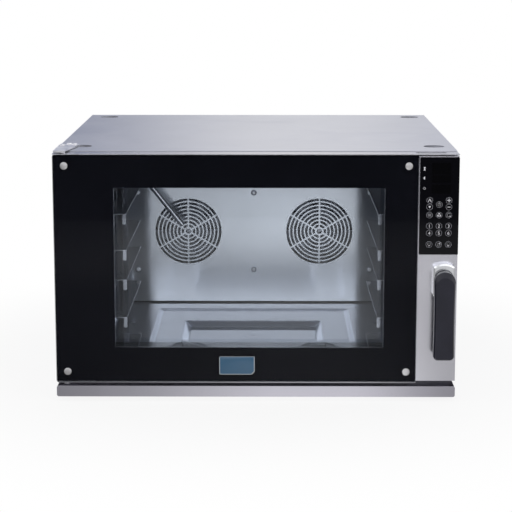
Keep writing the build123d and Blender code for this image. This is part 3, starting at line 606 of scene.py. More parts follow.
def moulded(name, colour, rough, size=900.0, depth=0.00003, edge=0.3, level=0.5):
    """Moulded plastic or rubber: fine skin, uneven gloss and edges painted paler as glints."""
    material, tree, shader = blank_material(name)
    skin = use_group(tree, SKIN, Size=size)
    edge_wear_glint = use_group(tree, EDGE, Width=0.0008, Patchiness=0.6)["Edge"]
    marks = use_group(tree, MARKS, Size=14.0)["Marks"]
    tone = ranged(tree, skin["Tone"], 0.3, 0.7, 0.0, 1.0)
    base = blended(tree, tone, scaled(colour, 0.88), scaled(colour, 1.15))
    # Painted glint: edges much paler than the plastic
    edge_shift = blended(tree, product(tree, edge_wear_glint, edge), base, scaled(colour, 2.4))
    wire(tree, edge_shift, shader.inputs["Base Color"])
    greasy = product(tree, marks, -0.15)
    uneven = ranged(tree, skin["Tone"], 0.3, 0.7, rough * 0.9, rough * 1.1)
    wire(tree, total(tree, uneven, greasy), shader.inputs["Roughness"])
    shader.inputs["Specular IOR Level"].default_value = level
    give_bump(tree, shader, skin["Height"], depth, 0.5)
    return material


def black_gloss(name, colour, rough, level, marks_amount=0.05):
    """Black print or tinted glass: deep, even, with faint wiped marks."""
    material, tree, shader = blank_material(name)
    marks = use_group(tree, MARKS, Size=4.0)["Marks"]
    place = object_place(tree)
    tone = ranged(tree, noise(tree, place, 4.5, 3.0), 0.3, 0.7, 0.0, 1.0)
    base = blended(tree, tone, scaled(colour, 0.9), scaled(colour, 1.12))
    smeared = blended(tree, product(tree, marks, 0.3), base, scaled(colour, 1.5))
    wire(tree, smeared, shader.inputs["Base Color"])
    wire(tree, ranged(tree, marks, 0.0, 1.0, rough, rough + marks_amount), shader.inputs["Roughness"])
    shader.inputs["Specular IOR Level"].default_value = level
    return material


PANE_SMEAR = 0.03


def clear_glass(name, tint, bend, rough=0.0):
    """Clear pane. Light for the rooms behind it goes straight through, so they are lit evenly."""
    material, tree, shader = blank_material(name)
    shader.inputs["Base Color"].default_value = (*tint, 1.0)
    marks = use_group(tree, MARKS, Size=3.0)["Marks"]
    wire(tree, ranged(tree, marks, 0.2, 1.0, rough, rough + PANE_SMEAR), shader.inputs["Roughness"])
    shader.inputs["Transmission Weight"].default_value = 1.0
    shader.inputs["Metallic"].default_value = 0.0
    shader.inputs["IOR"].default_value = bend
    through = tree.nodes.new("ShaderNodeBsdfTransparent")
    through.inputs["Color"].default_value = (*tint, 1.0)
    path = tree.nodes.new("ShaderNodeLightPath")
    indirect = arithmetic(tree, "MAXIMUM", path.outputs["Is Shadow Ray"], path.outputs["Is Diffuse Ray"])
    mix = tree.nodes.new("ShaderNodeMixShader")
    wire(tree, indirect, mix.inputs[0])
    wire(tree, shader.outputs[0], mix.inputs[1])
    wire(tree, through.outputs[0], mix.inputs[2])
    wire(tree, mix.outputs[0], tree.get_output_node("ALL").inputs["Surface"])
    return material


def wool_blanket(name, colour):
    """Pressed mineral wool."""
    material, tree, shader = blank_material(name)
    place = object_place(tree)
    fibres = noise(tree, place, 220.0, 5.0, 0.7, 1.5)
    base = blended(tree, fibres, scaled(colour, 0.75), scaled(colour, 1.15))
    clumps = blended(tree, noise(tree, place, 18.0, 3.0), base, scaled(colour, 0.9))
    wire(tree, clumps, shader.inputs["Base Color"])
    wire(tree, ranged(tree, fibres, 0.3, 0.7, 0.9, 1.0), shader.inputs["Roughness"])
    give_bump(tree, shader, fibres, 0.0008, 0.8)
    return material


def circuit_board(name):
    """Green board with a faint pattern of tracks."""
    material, tree, shader = blank_material(name)
    place = object_place(tree)
    tracks = tree.nodes.new("ShaderNodeTexBrick")
    give(tracks, Scale=60.0, Color1=(0.02, 0.12, 0.05, 1), Color2=(0.025, 0.16, 0.06, 1))
    give(tracks, Mortar=(0.05, 0.28, 0.10, 1), **{"Mortar Size": 0.03})
    wire(tree, place, tracks.inputs["Vector"])
    wire(tree, tracks.outputs["Color"], shader.inputs["Base Color"])
    wire(tree, ranged(tree, noise(tree, place, 90.0), 0.3, 0.7, 0.3, 0.5), shader.inputs["Roughness"])
    return material


def enamel(name, colour, rough=0.25):
    """Baked enamel with slight orange peel."""
    material, tree, shader = blank_material(name)
    place = object_place(tree)
    tone = noise(tree, place, 20.0, 3.0)
    wire(tree, blended(tree, tone, scaled(colour, 0.85), scaled(colour, 1.15)), shader.inputs["Base Color"])
    wire(tree, ranged(tree, tone, 0.3, 0.7, rough * 0.8, rough * 1.2), shader.inputs["Roughness"])
    shader.inputs["Coat Weight"].default_value = 0.3
    give_bump(tree, shader, noise(tree, place, 350.0, 2.0), 0.00002, 0.3)
    return material


def printed_ink(name, colour):
    """Pale screen print on the touch panel, slightly thin in places."""
    material, tree, shader = blank_material(name)
    place = object_place(tree)
    thin = noise(tree, place, 900.0, 2.0)
    wire(tree, blended(tree, thin, scaled(colour, 0.85), scaled(colour, 1.1)), shader.inputs["Base Color"])
    wire(tree, ranged(tree, thin, 0.3, 0.7, 0.35, 0.5), shader.inputs["Roughness"])
    shader.inputs["Specular IOR Level"].default_value = 0.2
    return material


STEEL = (0.555, 0.56, 0.615)
PANE_TINT = (0.966, 0.982, 1.0)
ALONG_X = (1.0, 40.0, 40.0)
ALONG_Y = (40.0, 1.0, 40.0)
ALONG_Z = (40.0, 40.0, 1.0)

cover_steel = sheet_steel("cover_steel", STEEL, 0.32, ALONG_X, dimples=True)
side_steel = sheet_steel("side_steel", STEEL, 0.34, ALONG_Y)
# Strong edge amounts give the column and the strip above the door strong painted glints along their edges
column_steel = sheet_steel("column_steel", (0.71, 0.705, 0.765), 0.20, ALONG_Z, edge=1.0)
trim_steel = sheet_steel("trim_steel", (0.48, 0.48, 0.52), 0.24, ALONG_X, edge=1.4, glint=1.9)
gutter_steel = sheet_steel("gutter_steel", (0.47, 0.46, 0.515), 0.30, ALONG_X)
frame_steel = sheet_steel("frame_steel", (0.36, 0.36, 0.39), 0.26, ALONG_Z)
cavity_steel = mirror_steel(
    "cavity_steel", (0.40, 0.42, 0.475), 0.03, 0.00012, haze=0.02, rounding=0.005, flank=1.75
)
baffle_steel = mirror_steel("baffle_steel", (0.87, 0.895, 0.94), 0.14, 0.0002, smear=1.0, haze=0.02)
# Rack ledges get strong painted glints along their edges
rack_steel = mirror_steel("rack_steel", (0.46, 0.47, 0.51), 0.12, 0.0002, edge=1.0, edge_shift=0.5)
tube_steel = mirror_steel("tube_steel", (0.68, 0.69, 0.72), 0.10, 0.0001)
back_zinc = zinc_sheet("back_zinc", (0.56, 0.57, 0.58), 0.38)
# Fan wheels and the wall behind the baffle are darkened zinc, as painted shade
fan_zinc_painted_shade = zinc_sheet("fan_zinc_painted_shade", (0.25, 0.26, 0.29), 0.42)
plated_metal = turned_metal("plated_metal", (0.80, 0.80, 0.83), 0.34)
# Dark steel; on the fan shafts and their nuts behind the baffle this darkness is painted shade
screw_steel = turned_metal("screw_steel", (0.30, 0.31, 0.34), 0.30)
cap_metal = turned_metal("cap_metal", (0.60, 0.59, 0.60), 0.33, 0.16, 420.0, 0.00004)
boss_chrome = turned_metal("boss_chrome", (0.76, 0.77, 0.80), 0.12, 0.03)
element_metal = turned_metal("element_metal", (0.30, 0.29, 0.28), 0.5, 0.2)
motor_alloy = turned_metal("motor_alloy", (0.62, 0.62, 0.63), 0.45, 0.1, 500.0, 0.00005)
bush_bronze = turned_metal("bush_bronze", (0.55, 0.38, 0.18), 0.35)
lever_black = moulded("lever_black", (0.012, 0.012, 0.023), 0.32, 1400.0, 0.00002, 0.25, 0.42)
housing_black = moulded("housing_black", (0.035, 0.035, 0.036), 0.5)
foot_rubber = moulded("foot_rubber", (0.03, 0.03, 0.03), 0.75, 500.0, 0.00008)
seal_rubber = moulded("seal_rubber", (0.06, 0.06, 0.062), 0.6, 700.0, 0.00004)
door_print = black_gloss("door_print", (0.0056, 0.0057, 0.0082), 0.30, 0.0)
panel_black = black_gloss("panel_black", (0.0030, 0.0030, 0.0044), 0.05, 0.15, 0.03)
display_black = black_gloss("display_black", (0.0022, 0.0022, 0.0028), 0.08, 0.08)
door_glass = clear_glass("door_glass", PANE_TINT, 1.18)
inner_glass = clear_glass("inner_glass", PANE_TINT, 1.31)
lamp_glass = clear_glass("lamp_glass", (0.95, 0.95, 0.92), 1.45, 0.15)
ink_white = printed_ink("ink_white", (0.80, 0.80, 0.85))
ink_grey = printed_ink("ink_grey", (0.52, 0.52, 0.58))
badge_blue = enamel("badge_blue", (0.020, 0.095, 0.185))
badge_silver = enamel("badge_silver", (0.62, 0.66, 0.70), 0.35)
wool = wool_blanket("mineral_wool", (0.62, 0.54, 0.36))
board_green = circuit_board("circuit_board")

FINISHES = {
    cover_steel: ["top_cover"],
    side_steel: ["left_side_panel", "right_side_panel"],
    column_steel: ["control_column"],
    trim_steel: ["nose_trim"],
    gutter_steel: ["drip_gutter"],
    frame_steel: ["face_frame", "door_hinge_stile", "door_middle_stile", "door_top_rail", "door_bottom_rail"],
    cavity_steel: ["cavity_liner"],
    baffle_steel: ["fan_baffle"],
    rack_steel: ["left_rack", "right_rack"],
    tube_steel: ["steam_tube", "exhaust_pipe"],
    back_zinc: ["back_panel", "base_pan", "motor_bulkhead", "compartment_wall"],
    fan_zinc_painted_shade: ["left_fan_wheel", "right_fan_wheel", "cavity_back_wall"],
    plated_metal: [
        "rack_studs", "hinge_top_plate", "hinge_screws", "hinge_bottom_bracket", "latch_keeper", "latch_hook",
        "handle_spindle",
    ],
    screw_steel: ["baffle_screws", "temp_probe", "left_fan_shaft", "right_fan_shaft"],
    cap_metal: ["glass_caps"],
    boss_chrome: ["handle_boss"],
    element_metal: ["left_heater", "right_heater"],
    motor_alloy: ["left_fan_motor", "right_fan_motor", "cavity_lamp_housing"],
    bush_bronze: ["hinge_bushes"],
    lever_black: ["handle_grip"],
    housing_black: ["terminal_block", "water_valve", "cable_gland", "cooler_frame", "cooler_rotor"],
    foot_rubber: ["rubber_feet"],
    seal_rubber: ["door_gasket"],
    door_print: ["glass_mask"],
    panel_black: ["control_glass"],
    door_glass: ["door_outer_glass"],
    inner_glass: ["door_inner_glass"],
    lamp_glass: ["cavity_lamp_lens"],
    badge_blue: ["badge_plate"],
    wool: ["insulation"],
    board_green: ["power_board", "display_board"],
}


def dress_frame():
    """Gives every node of the frame its finish."""
    for material, names in FINISHES.items():
        for name in names:
            mesh = nodes[name].data
            mesh.materials.clear()
            mesh.materials.append(material)


dress_frame()


# Touch panel print

KEY_COLUMNS = (342.5 * MM, 361.4 * MM, 380.4 * MM)
KEY_RADIUS = 6.1 * MM
KEY_LINE = 0.36 * MM
SIGN_LINE = 0.6 * MM
ROW_UP, ROW_MIDDLE, ROW_DOWN = 409.4 * MM, 401.2 * MM, 396.2 * MM
ROW_SIGNS, ROW_NUMBERS, ROW_LAST = 380.2 * MM, 358.3 * MM, 321.4 * MM
NUMBER_PITCH = 14.1 * MM
NUMERAL_SIZE = 9.2 * MM
DISPLAY_DROPS = ((11.0, 34.2), (35.6, 51.1), (54.1, 72.2))


def temperature_and_time_keys(rings, signs):
    """Up and down keys, plus and minus keys, and the start key between them."""
    left, middle, right = KEY_COLUMNS
    for x, z in ((left, ROW_UP), (right, ROW_UP), (middle, ROW_MIDDLE), (left, ROW_DOWN), (right, ROW_DOWN)):
        print_ring(rings, x, z, KEY_RADIUS, KEY_LINE)
    print_line(signs, in_mm(((-2.5, -2), (0, 2.8), (2.5, -2)), left, ROW_UP), 1.3 * MM)
    print_shape(signs, in_mm(((-2.5, 2), (0, -2.8), (2.5, 2)), left, ROW_DOWN))
    print_line(signs, in_mm(((-2.8, 0), (2.8, 0)), right, ROW_UP), 1.5 * MM)
    print_line(signs, in_mm(((0, -2.8), (0, 2.8)), right, ROW_UP), 1.5 * MM)
    print_line(signs, in_mm(((-2.5, 0), (2.5, 0)), right, ROW_DOWN), 1.1 * MM)
    print_line(signs, arc(middle, ROW_MIDDLE, 2.9 * MM, 120, 420, 16), SIGN_LINE)
    print_line(signs, [(middle, ROW_MIDDLE), (middle, ROW_MIDDLE + 4 * MM)], SIGN_LINE)


def programme_keys(rings, signs):
    """Steam, fan and door keys."""
    left, middle, right = KEY_COLUMNS
    z = ROW_SIGNS
    for x in KEY_COLUMNS:
        print_ring(rings, x, z, KEY_RADIUS, KEY_LINE)
    for offset in (-2.4 * MM, 0.0, 2.4 * MM):
        wave = []
        for step in range(7):
            sway = 0.6 * MM * math.sin(step * 1.6)
            wave.append((left + offset + sway, z + (0.85 * step - 2.6) * MM))
        print_line(signs, wave, SIGN_LINE)
    for turn in (90, 210, 330):
        out = math.radians(turn)
        hub_x = middle + 2.1 * MM * math.cos(out)
        hub_z = z + 2.1 * MM * math.sin(out)
        print_shape(signs, arc(hub_x, hub_z, 1.9 * MM, turn - 120, turn + 100, 10))
    print_line(signs, arc(right, z, 3.4 * MM, 35, 305, 16), SIGN_LINE)
    print_shape(signs, in_mm(((1.0, -3.8), (4.4, -3.4), (2.4, -0.6)), right, z))


def last_keys(rings, signs):
    """Clear, timer and light keys."""
    left, middle, right = KEY_COLUMNS
    z = ROW_LAST
    for x in KEY_COLUMNS:
        print_ring(rings, x, z, KEY_RADIUS, KEY_LINE)
    print_line(signs, arc(left, z + 0.6 * MM, 2.6 * MM, 200, -50, 12), 1.1 * MM)
    print_line(signs, [(left + 1.4 * MM, z - 1.2 * MM), (left - 0.6 * MM, z - 3.2 * MM)], 1.1 * MM)
    print_line(signs, arc(middle, z - 0.4 * MM, 2.8 * MM, 60, 390, 14), 1.0 * MM)
    print_line(signs, [(middle + 1 * MM, z + 1 * MM), (middle + 3.2 * MM, z + 3.6 * MM)], 1.0 * MM)
    print_line(signs, arc(right, z + 1.0 * MM, 2.6 * MM, -55, 235, 14), 1.0 * MM)
    print_line(signs, in_mm(((-1.1, -1.2), (-1.1, -3.6), (1.1, -3.6), (1.1, -1.2)), right, z), 1.0 * MM)


def display_marks(signs):
    """Small signs to the left of the three displays: a glass of sand, a half disc and a diamond."""
    glass = ((-1.9, 3.3), (1.9, 3.3), (0.9, 0), (1.9, -3.3), (-1.9, -3.3), (-0.9, 0))
    print_shape(signs, in_mm(glass, 331.3 * MM, 472.0 * MM))
    print_shape(signs, arc(332.4 * MM, 453.6 * MM, 3.0 * MM, 90, 270, 12))
    diamond = ((0, 2.6), (2.6, 0), (0, -2.6), (-2.6, 0))
    print_line(signs, in_mm(diamond, 331.4 * MM, 433.2 * MM), 0.5 * MM, closed=True)


def numeral(text, x, z):
    """A plain numeral as a flat printed shape."""
    curve = bpy.data.curves.new("numeral_" + text, "FONT")
    curve.body = text
    curve.size = NUMERAL_SIZE
    maker = bpy.data.objects.new("numeral_maker", curve)
    bpy.context.scene.collection.objects.link(maker)
    bpy.context.view_layer.update()
    mesh = bpy.data.meshes.new_from_object(maker.evaluated_get(bpy.context.evaluated_depsgraph_get()))
    bpy.data.objects.remove(maker)
    xs = [v.co.x for v in mesh.vertices]
    ys = [v.co.y for v in mesh.vertices]
    centred = Matrix.Translation((-(min(xs) + max(xs)) / 2, -(min(ys) + max(ys)) / 2, 0))
    mesh.transform(toward_front(x, PRINT_FACE, z) @ centred)
    mesh.materials.clear()
    mesh.materials.append(ink_white)
    place_piece(mesh, "numeral_" + text, "door")


def keypad():
    """Rings, numerals and small signs printed on the touch panel."""
    rings = bmesh.new()
    signs = bmesh.new()
    temperature_and_time_keys(rings, signs)
    programme_keys(rings, signs)
    last_keys(rings, signs)
    display_marks(signs)
    for number in range(6):
        x = KEY_COLUMNS[number % 3]
        z = ROW_NUMBERS - NUMBER_PITCH * (number // 3)
        print_ring(rings, x, z, KEY_RADIUS, KEY_LINE)
        numeral(str(number + 1), x, z)
    finish_piece(rings, "keypad_rings", ink_grey, "door")
    finish_piece(signs, "keypad_signs", ink_white, "door")


def displays():
    """Three display windows in the touch panel."""
    bm = bmesh.new()
    left, right = PANEL_LEFT + 22.7 * MM, PANEL_LEFT + 61.3 * MM
    for drop, low_drop in DISPLAY_DROPS:
        window = rounded_outline(left, right, PANEL_TOP - low_drop * MM, PANEL_TOP - drop * MM, 0.8 * MM)
        outline_plate(bm, window, CONTROL_FACE - 0.02 * MM, CONTROL_FACE + 0.1 * MM)
    finish_piece(bm, "display_windows", display_black, "door")


keypad()
displays()


# Badge, caps and screws

BADGE = (-72.75 * MM, -2.35 * MM, 56.1 * MM, 92.9 * MM)
BADGE_CUT = 6 * MM
BADGE_CORNER = 3 * MM


def badge_outline(inset, top_inset):
    """Outline of the badge: two round corners at the left and a cut corner at the lower right."""
    left, right = BADGE[0] + inset, BADGE[1] - inset
    low, high = BADGE[2] + inset, BADGE[3] - top_inset
    cut = BADGE_CUT - inset * 0.4
    corner = BADGE_CORNER - inset
    outline = arc(left + corner, low + corner, corner, 180, 270, 4)
    outline += [(right - cut, low), (right, low + cut), (right, high)]
    return outline + arc(left + corner, high - corner, corner, 90, 180, 4)


def badge():
    """Blank enamel plate with a pale printed rim, open along its top."""
    body = bmesh.new()
    outline_plate(body, badge_outline(0.0, 0.0), FRONT - 0.9 * MM, FRONT, 0.3 * MM)
    finish_piece(body, "badge_body", badge_silver, "door", 40, ["badge_plate"])
    face = bmesh.new()
    outline_plate(face, badge_outline(1.1 * MM, 0.4 * MM), FRONT - 1.0 * MM, FRONT - 0.5 * MM, 0.1 * MM)
    finish_piece(face, "badge_face", badge_blue, "door", 40)


def glass_caps():
    """Domed steel caps that hold the front pane, on their shanks."""
    bm = bmesh.new()
    profile = [
        (0.0, -5.4), (4.0, -5.4), (4.0, 0.0), (7.3, 0.0), (7.5, 0.3), (7.5, 1.0), (7.1, 1.6), (6.3, 2.05),
        (4.2, 2.35), (0.0, 2.5),
    ]
    for x in CAP_X:
        for z in CAP_Z:
            turned(bm, in_mm(profile), toward_front(x, FRONT, z), 40)
    finish_piece(bm, "cap_heads", cap_metal, "door", 35, ["glass_caps"])


def cross_recess(bm, place, reach, half, depth, top):
    """Walls and floor of a cross-shaped driver recess, sunk from the top of a head."""
    points = [
        (half, reach), (-half, reach), (-half, half), (-reach, half), (-reach, -half), (-half, -half),
        (-half, -reach), (half, -reach), (half, -half), (reach, -half), (reach, half), (half, half),
    ]
    upper = [bm.verts.new(place @ Vector((x, y, top))) for x, y in points]
    lower = [bm.verts.new(place @ Vector((x * 0.8, y * 0.8, top - depth))) for x, y in points]
    skin_loops(bm, [upper, lower])
    bm.faces.new(lower)
    return upper


def screw_head(bm, place, radius, height):
    """Pan head with a cross recess, as one closed skin."""
    shape = ((0.97, 0.0), (1.0, 0.12), (1.0, 0.35), (0.93, 0.72), (0.72, 0.95), (0.55, 1.0))
    rings = [ring_of(bm, place, radius * share, height * along, 24) for share, along in shape]
    skin_loops(bm, rings)
    bm.faces.new(rings[0])
    cross = cross_recess(bm, place, radius * 0.42, radius * 0.11, height * 0.45, height)
    edges = []
    for loop in (rings[-1], cross):
        for n in range(len(loop)):
            ends = (loop[n], loop[(n + 1) % len(loop)])
            edges.append(bm.edges.get(ends) or bm.edges.new(ends))
    bmesh.ops.triangle_fill(bm, edges=edges, use_beauty=True)


def hinge_screw_heads():
    """Screws of the upper hinge plate."""
    bm = bmesh.new()
    for x, back in HINGE_SCREWS:
        screw_head(bm, upward(x * MM, FRONT + back * MM, PLATE_TOP), 5.2 * MM, 2.4 * MM)
    finish_piece(bm, "hinge_screw_heads", plated_metal, "cabinet", 35, ["hinge_screws"])


def baffle_screw_heads():
    """Screws of the fan baffle, each on a washer, with its long shank."""
    bm = bmesh.new()
    washers = bmesh.new()
    washer = [(0.0, 0.0), (6.4, 0.0), (6.4, 0.6), (6.1, 0.8), (0.0, 0.8)]
    shank = [(0.0, -SCREW_SHANK), (4.0, -SCREW_SHANK), (4.0, -0.1), (0.0, -0.1)]
    for x in BAFFLE_SCREW_X:
        for z in BAFFLE_SCREW_Z:
            place = toward_front(x, BAFFLE_FACE, z)
            turned(washers, in_mm(washer), place, 32)
            screw_head(bm, toward_front(x, BAFFLE_FACE - 0.8 * MM, z), 4.7 * MM, 3.0 * MM)
            turned(bm, in_mm(shank), place, 20)
    finish_piece(bm, "baffle_screw_heads", plated_metal, "cabinet", 35, ["baffle_screws"])
    finish_piece(washers, "baffle_washers", screw_steel, "cabinet", 35)


badge()
glass_caps()
hinge_screw_heads()
baffle_screw_heads()


# Seal, fittings and back


def vent_shade_slats():
    """Black slats under the vent slot in the strip above the door, each with a turned-down lip: a dark piece
    standing in for the shade in the gap under the strip.
    """
    bm = bmesh.new()
    section = ((0.0, 0.0), (6.0, 0.0), (6.0, -0.4), (0.5, -0.4), (0.5, -0.9), (0.0, -0.9))
    for row in VENT_ROWS:
        ends = []
        for x in (VENT_LEFT, VENT_RIGHT):
            outline = in_mm(section, FRONT + row * MM, STRIP_UNDER)
            ends.append([bm.verts.new((x, y, z)) for y, z in outline])
        skin_loops(bm, ends)
        for end in ends:
            bm.faces.new(end)
    finish_piece(bm, "vent_shade_slats", housing_black, "cabinet")


def door_seal():
    """Silicone seal with a foot, a hollow bulb and a thin lip."""
    section = [
        (17.0, 0.0), (17.0, 1.4), (15.0, 1.8), (14.6, 3.4), (13.6, 4.9), (12.0, 5.6), (10.4, 5.0), (9.5, 3.6),
        (9.0, 4.0), (7.8, 4.6), (7.2, 4.0), (8.0, 2.8), (8.6, 1.6), (7.0, 1.3), (7.0, 0.0),
    ]
    bm = bmesh.new()
    loops = []
    for grow, out in section:
        reach = CAVITY_HALF + grow * MM
        low, high = CAVITY_LOW - grow * MM, CAVITY_HIGH + grow * MM
        corner = CAVITY_CORNER + grow * MM
        outline = rounded_outline(CAVITY_X - reach, CAVITY_X + reach, low, high, corner, 10)
        loops.append([bm.verts.new((x, FRAME_FACE - out * MM, z)) for x, z in outline])
    loops.append(loops[0])
    skin_loops(bm, loops)
    finish_piece(bm, "seal_profile", seal_rubber, "cabinet", 50, ["door_gasket"])


def water_inlet():
    """Threaded nose of the water valve."""
    bm = bmesh.new()
    profile = [(0.0, 4.0), (12.0, 4.0)]
    along = 4.2
    while along < 17.6:
        profile += [(12.1, along), (13.2, along + 0.54), (13.2, along + 0.9), (12.1, along + 1.44)]
        along += 1.8
    profile += [(12.1, 19.4), (11.4, 20.0), (9.6, 20.0), (9.2, 18.0), (9.2, 6.0), (0.0, 6.0)]
    turned(bm, in_mm(profile), toward_back(*WATER_INLET), 48)
    finish_piece(bm, "water_thread", plated_metal, "cabinet", 35)


def back_screws():
    """Pan-head screws around the rear sheet."""
    bm = bmesh.new()
    places = [(x, z) for x in (-BACK_SCREW_SIDE, BACK_SCREW_SIDE) for z in BACK_SCREW_ROWS]
    places += [(x, BACK_SCREW_LOW) for x in BACK_SCREW_FEET]
    for x, z in places:
        screw_head(bm, toward_back(x, BACK_SHEET, z), 4.2 * MM, 2.2 * MM)
    finish_piece(bm, "back_screw_heads", plated_metal, "cabinet", 35)


def louvre_hoods():
    """Pressed hood over each cooling slot of the rear sheet."""
    bm = bmesh.new()
    section = ((0.0, 8.8), (2.4, 8.0), (4.4, 6.0), (5.4, 3.0), (5.6, 0.4))
    for middle in LOUVRE_X:
        for row in range(LOUVRE_SLOTS):
            slot = FAN_Z + (row * LOUVRE_PITCH + LOUVRE_LOWEST) * MM
            sheets = []
            for reach, sink, drop in ((46.0, 0.0, 0.0), (45.0, 0.8, 0.6)):
                sheet = []
                for out, up in section:
                    side = (reach - out * 0.6) * MM
                    y = BACK_SHEET + max(out - sink, 0.0) * MM
                    z = slot + (up - drop) * MM
                    sheet.append([bm.verts.new((middle - side, y, z)), bm.verts.new((middle + side, y, z))])
                sheets.append(sheet)
            outer, inner = sheets
            for sheet in sheets:
                skin_loops(bm, sheet, closed=False)
            for side in (0, 1):
                skin_loops(bm, [[pair[side] for pair in outer], [pair[side] for pair in inner]], closed=False)
            for end in (0, -1):
                bm.faces.new((outer[end][0], outer[end][1], inner[end][1], inner[end][0]))
    finish_piece(bm, "louvre_hoods", back_zinc, "cabinet", 50)


vent_shade_slats()
door_seal()
water_inlet()
back_screws()
louvre_hoods()


# Stage, light and camera

FOCAL_PIXELS, IMAGE_PIXELS = 1676.47, 512
CAMERA_PLACE = (0.024555, FRONT - 3.266598, 0.892750)
CAMERA_DOWN, CAMERA_TURN = 10.3246, 0.4193
LAMPS = (
    ("key_light", (-1.6, -2.2, 2.6), (0, 0, 0.25), 4.0, 3.0, 28),
    ("fill_light", (1.9, -1.8, 2.0), (0, 0, 0.25), 3.4, 3.0, 18),
    ("top_light", (0.2, 0.3, 2.8), (0, 0, 0.3), 3.2, 2.6, 13),
    ("front_light", (0.0, -4.3, 0.80), (0, 0, 0.80), 3.4, 0.8, 10),
)


def sight_masks(tree):
    """Masks of what the camera sees straight or through a pane, and of what it sees in a reflection."""
    path = tree.nodes.new("ShaderNodeLightPath").outputs
    mirrored = arithmetic(tree, "MINIMUM", path["Glossy Depth"], 1.0)
    straight = arithmetic(tree, "MAXIMUM", path["Is Camera Ray"], path["Is Transmission Ray"])
    return product(tree, straight, arithmetic(tree, "SUBTRACT", 1.0, mirrored)), mirrored


def stage_floor():
    """Pale floor: white where it is seen, with the oven's shadow near it; in reflections it glows with
    painted light and shade.
    """
    material = bpy.data.materials.new("studio_floor")
    material.use_nodes = True
    tree = material.node_tree
    tree.nodes.clear()
    output = tree.nodes.new("ShaderNodeOutputMaterial")
    surface = tree.nodes.new("ShaderNodeBsdfDiffuse")
    surface.inputs["Color"].default_value = (0.80, 0.80, 0.81, 1)
    direct, mirrored = sight_masks(tree)
    place = object_place(tree)
    spot = split(tree, place)
    plain = ranged(tree, vector_step(tree, "LENGTH", place), 0.45, 1.1, 0.88, 1.0, True)
    amount = total(tree, product(tree, direct, plain), mirrored)
    # Painted light and shade seen only in reflections: a bright pool near the middle, painted shade to the
    # sides, darker far ahead
    left = ranged(tree, spot["X"], -0.42, 0.12, 0.40, 1.2, True)
    right = ranged(tree, spot["X"], 0.18, 0.42, 1.2, 0.50, True)
    pool = arithmetic(tree, "MINIMUM", left, right)
    ahead = product(tree, spot["Y"], -1.0)
    far = ranged(tree, ahead, 1.4, 2.0, 0.0, 1.0, True)
    beyond = product(tree, far, arithmetic(tree, "SUBTRACT", 0.96, pool))
    graded = total(tree, pool, beyond)
    graded = product(tree, graded, ranged(tree, ahead, 1.7, 2.6, 1.0, 0.45))
    graded = product(tree, graded, ranged(tree, ahead, 2.63, 2.69, 1.0, 0.12))
    strength = total(tree, direct, product(tree, mirrored, graded))
    white = tree.nodes.new("ShaderNodeEmission")
    wire(tree, strength, white.inputs["Strength"])
    mix = tree.nodes.new("ShaderNodeMixShader")
    wire(tree, amount, mix.inputs[0])
    wire(tree, surface.outputs[0], mix.inputs[1])
    wire(tree, white.outputs[0], mix.inputs[2])
    wire(tree, mix.outputs[0], output.inputs["Surface"])
    bm = bmesh.new()
    bmesh.ops.create_grid(bm, x_segments=1, y_segments=1, size=30)
    mesh = bpy.data.meshes.new("studio_floor")
    bm.to_mesh(mesh)
    bm.free()
    mesh.materials.append(material)
    floor = bpy.data.objects.new("studio_floor", mesh)
    bpy.context.scene.collection.objects.link(floor)


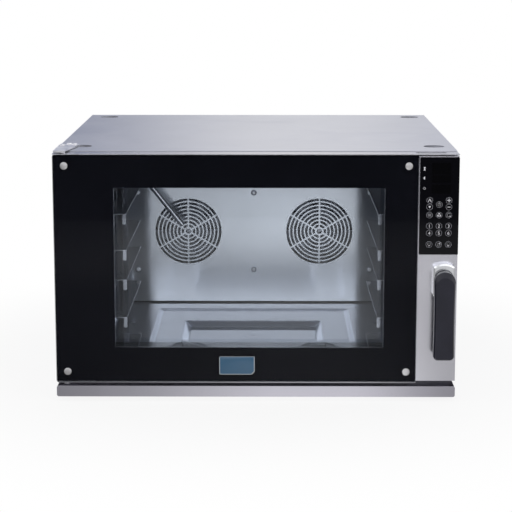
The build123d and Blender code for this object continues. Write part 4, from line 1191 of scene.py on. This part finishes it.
def studio_world():
    """Studio surround: white where it is seen, darker at the back and high in front in reflections."""
    world = bpy.data.worlds.new("studio_world")
    bpy.context.scene.world = world
    world.use_nodes = True
    tree = world.node_tree
    tree.nodes.clear()
    output = tree.nodes.new("ShaderNodeOutputWorld")
    background = tree.nodes.new("ShaderNodeBackground")
    direct, mirrored = sight_masks(tree)
    way = split(tree, tree.nodes.new("ShaderNodeTexCoord").outputs["Generated"])
    behind = ranged(tree, way["Y"], 0.3, 0.7, 0.0, 1.0, True)
    left = ranged(tree, way["X"], -0.13, 0.0, 1.0, 0.0, True)
    left = product(tree, left, ranged(tree, way["X"], -0.55, -0.25, 0.0, 1.0, True))
    ahead = ranged(tree, way["Y"], -0.9, -0.6, 1.0, 0.0, True)
    white = (1.0, 1.0, 1.0, 1.0)
    back_shade = blended(tree, product(tree, behind, left), white, (0.26, 0.29, 0.40, 1.0))
    right = ranged(tree, way["X"], 0.03, 0.14, 0.0, 0.6, True)
    back_shade = blended(tree, product(tree, behind, right), back_shade, (0.40, 0.43, 0.55, 1.0))
    shade = blended(tree, ahead, back_shade, (0.62, 0.64, 0.68, 1.0))
    high = ranged(tree, way["Z"], 0.06, 0.22, 0.0, 1.0, True)
    front = ranged(tree, way["Y"], -0.45, -0.05, 1.0, 0.0, True)
    shade = blended(tree, product(tree, high, front), shade, (0.36, 0.37, 0.39, 1.0))
    shade = blended(tree, mirrored, white, shade)
    full = product(tree, total(tree, mirrored, direct), 0.55)
    strength = total(tree, full, 0.45)
    wire(tree, shade, background.inputs["Color"])
    wire(tree, strength, background.inputs["Strength"])
    wire(tree, background.outputs[0], output.inputs["Surface"])


def soft_light(name, place, target, width, depth, power):
    """A large soft lamp."""
    lamp = bpy.data.lights.new(name, "AREA")
    lamp.shape = "RECTANGLE"
    lamp.size = width
    lamp.size_y = depth
    lamp.energy = power
    holder = bpy.data.objects.new(name, lamp)
    bpy.context.scene.collection.objects.link(holder)
    holder.location = place
    holder.rotation_euler = (Vector(target) - Vector(place)).to_track_quat("-Z", "Y").to_euler()


def studio_camera():
    """The photograph's viewpoint: a long lens, a little right of the middle, looking down ten degrees."""
    camera = bpy.data.cameras.new("studio_camera")
    camera.sensor_width = 36.0
    camera.lens = FOCAL_PIXELS / IMAGE_PIXELS * camera.sensor_width
    camera.clip_end = 100.0
    holder = bpy.data.objects.new("studio_camera", camera)
    bpy.context.scene.collection.objects.link(holder)
    holder.location = CAMERA_PLACE
    holder.rotation_euler = (math.radians(90 - CAMERA_DOWN), 0, math.radians(CAMERA_TURN))
    bpy.context.scene.camera = holder


stage_floor()
studio_world()
for lamp_row in LAMPS:
    soft_light(*lamp_row)
studio_camera()

bpy.context.scene.view_settings.view_transform = "Standard"
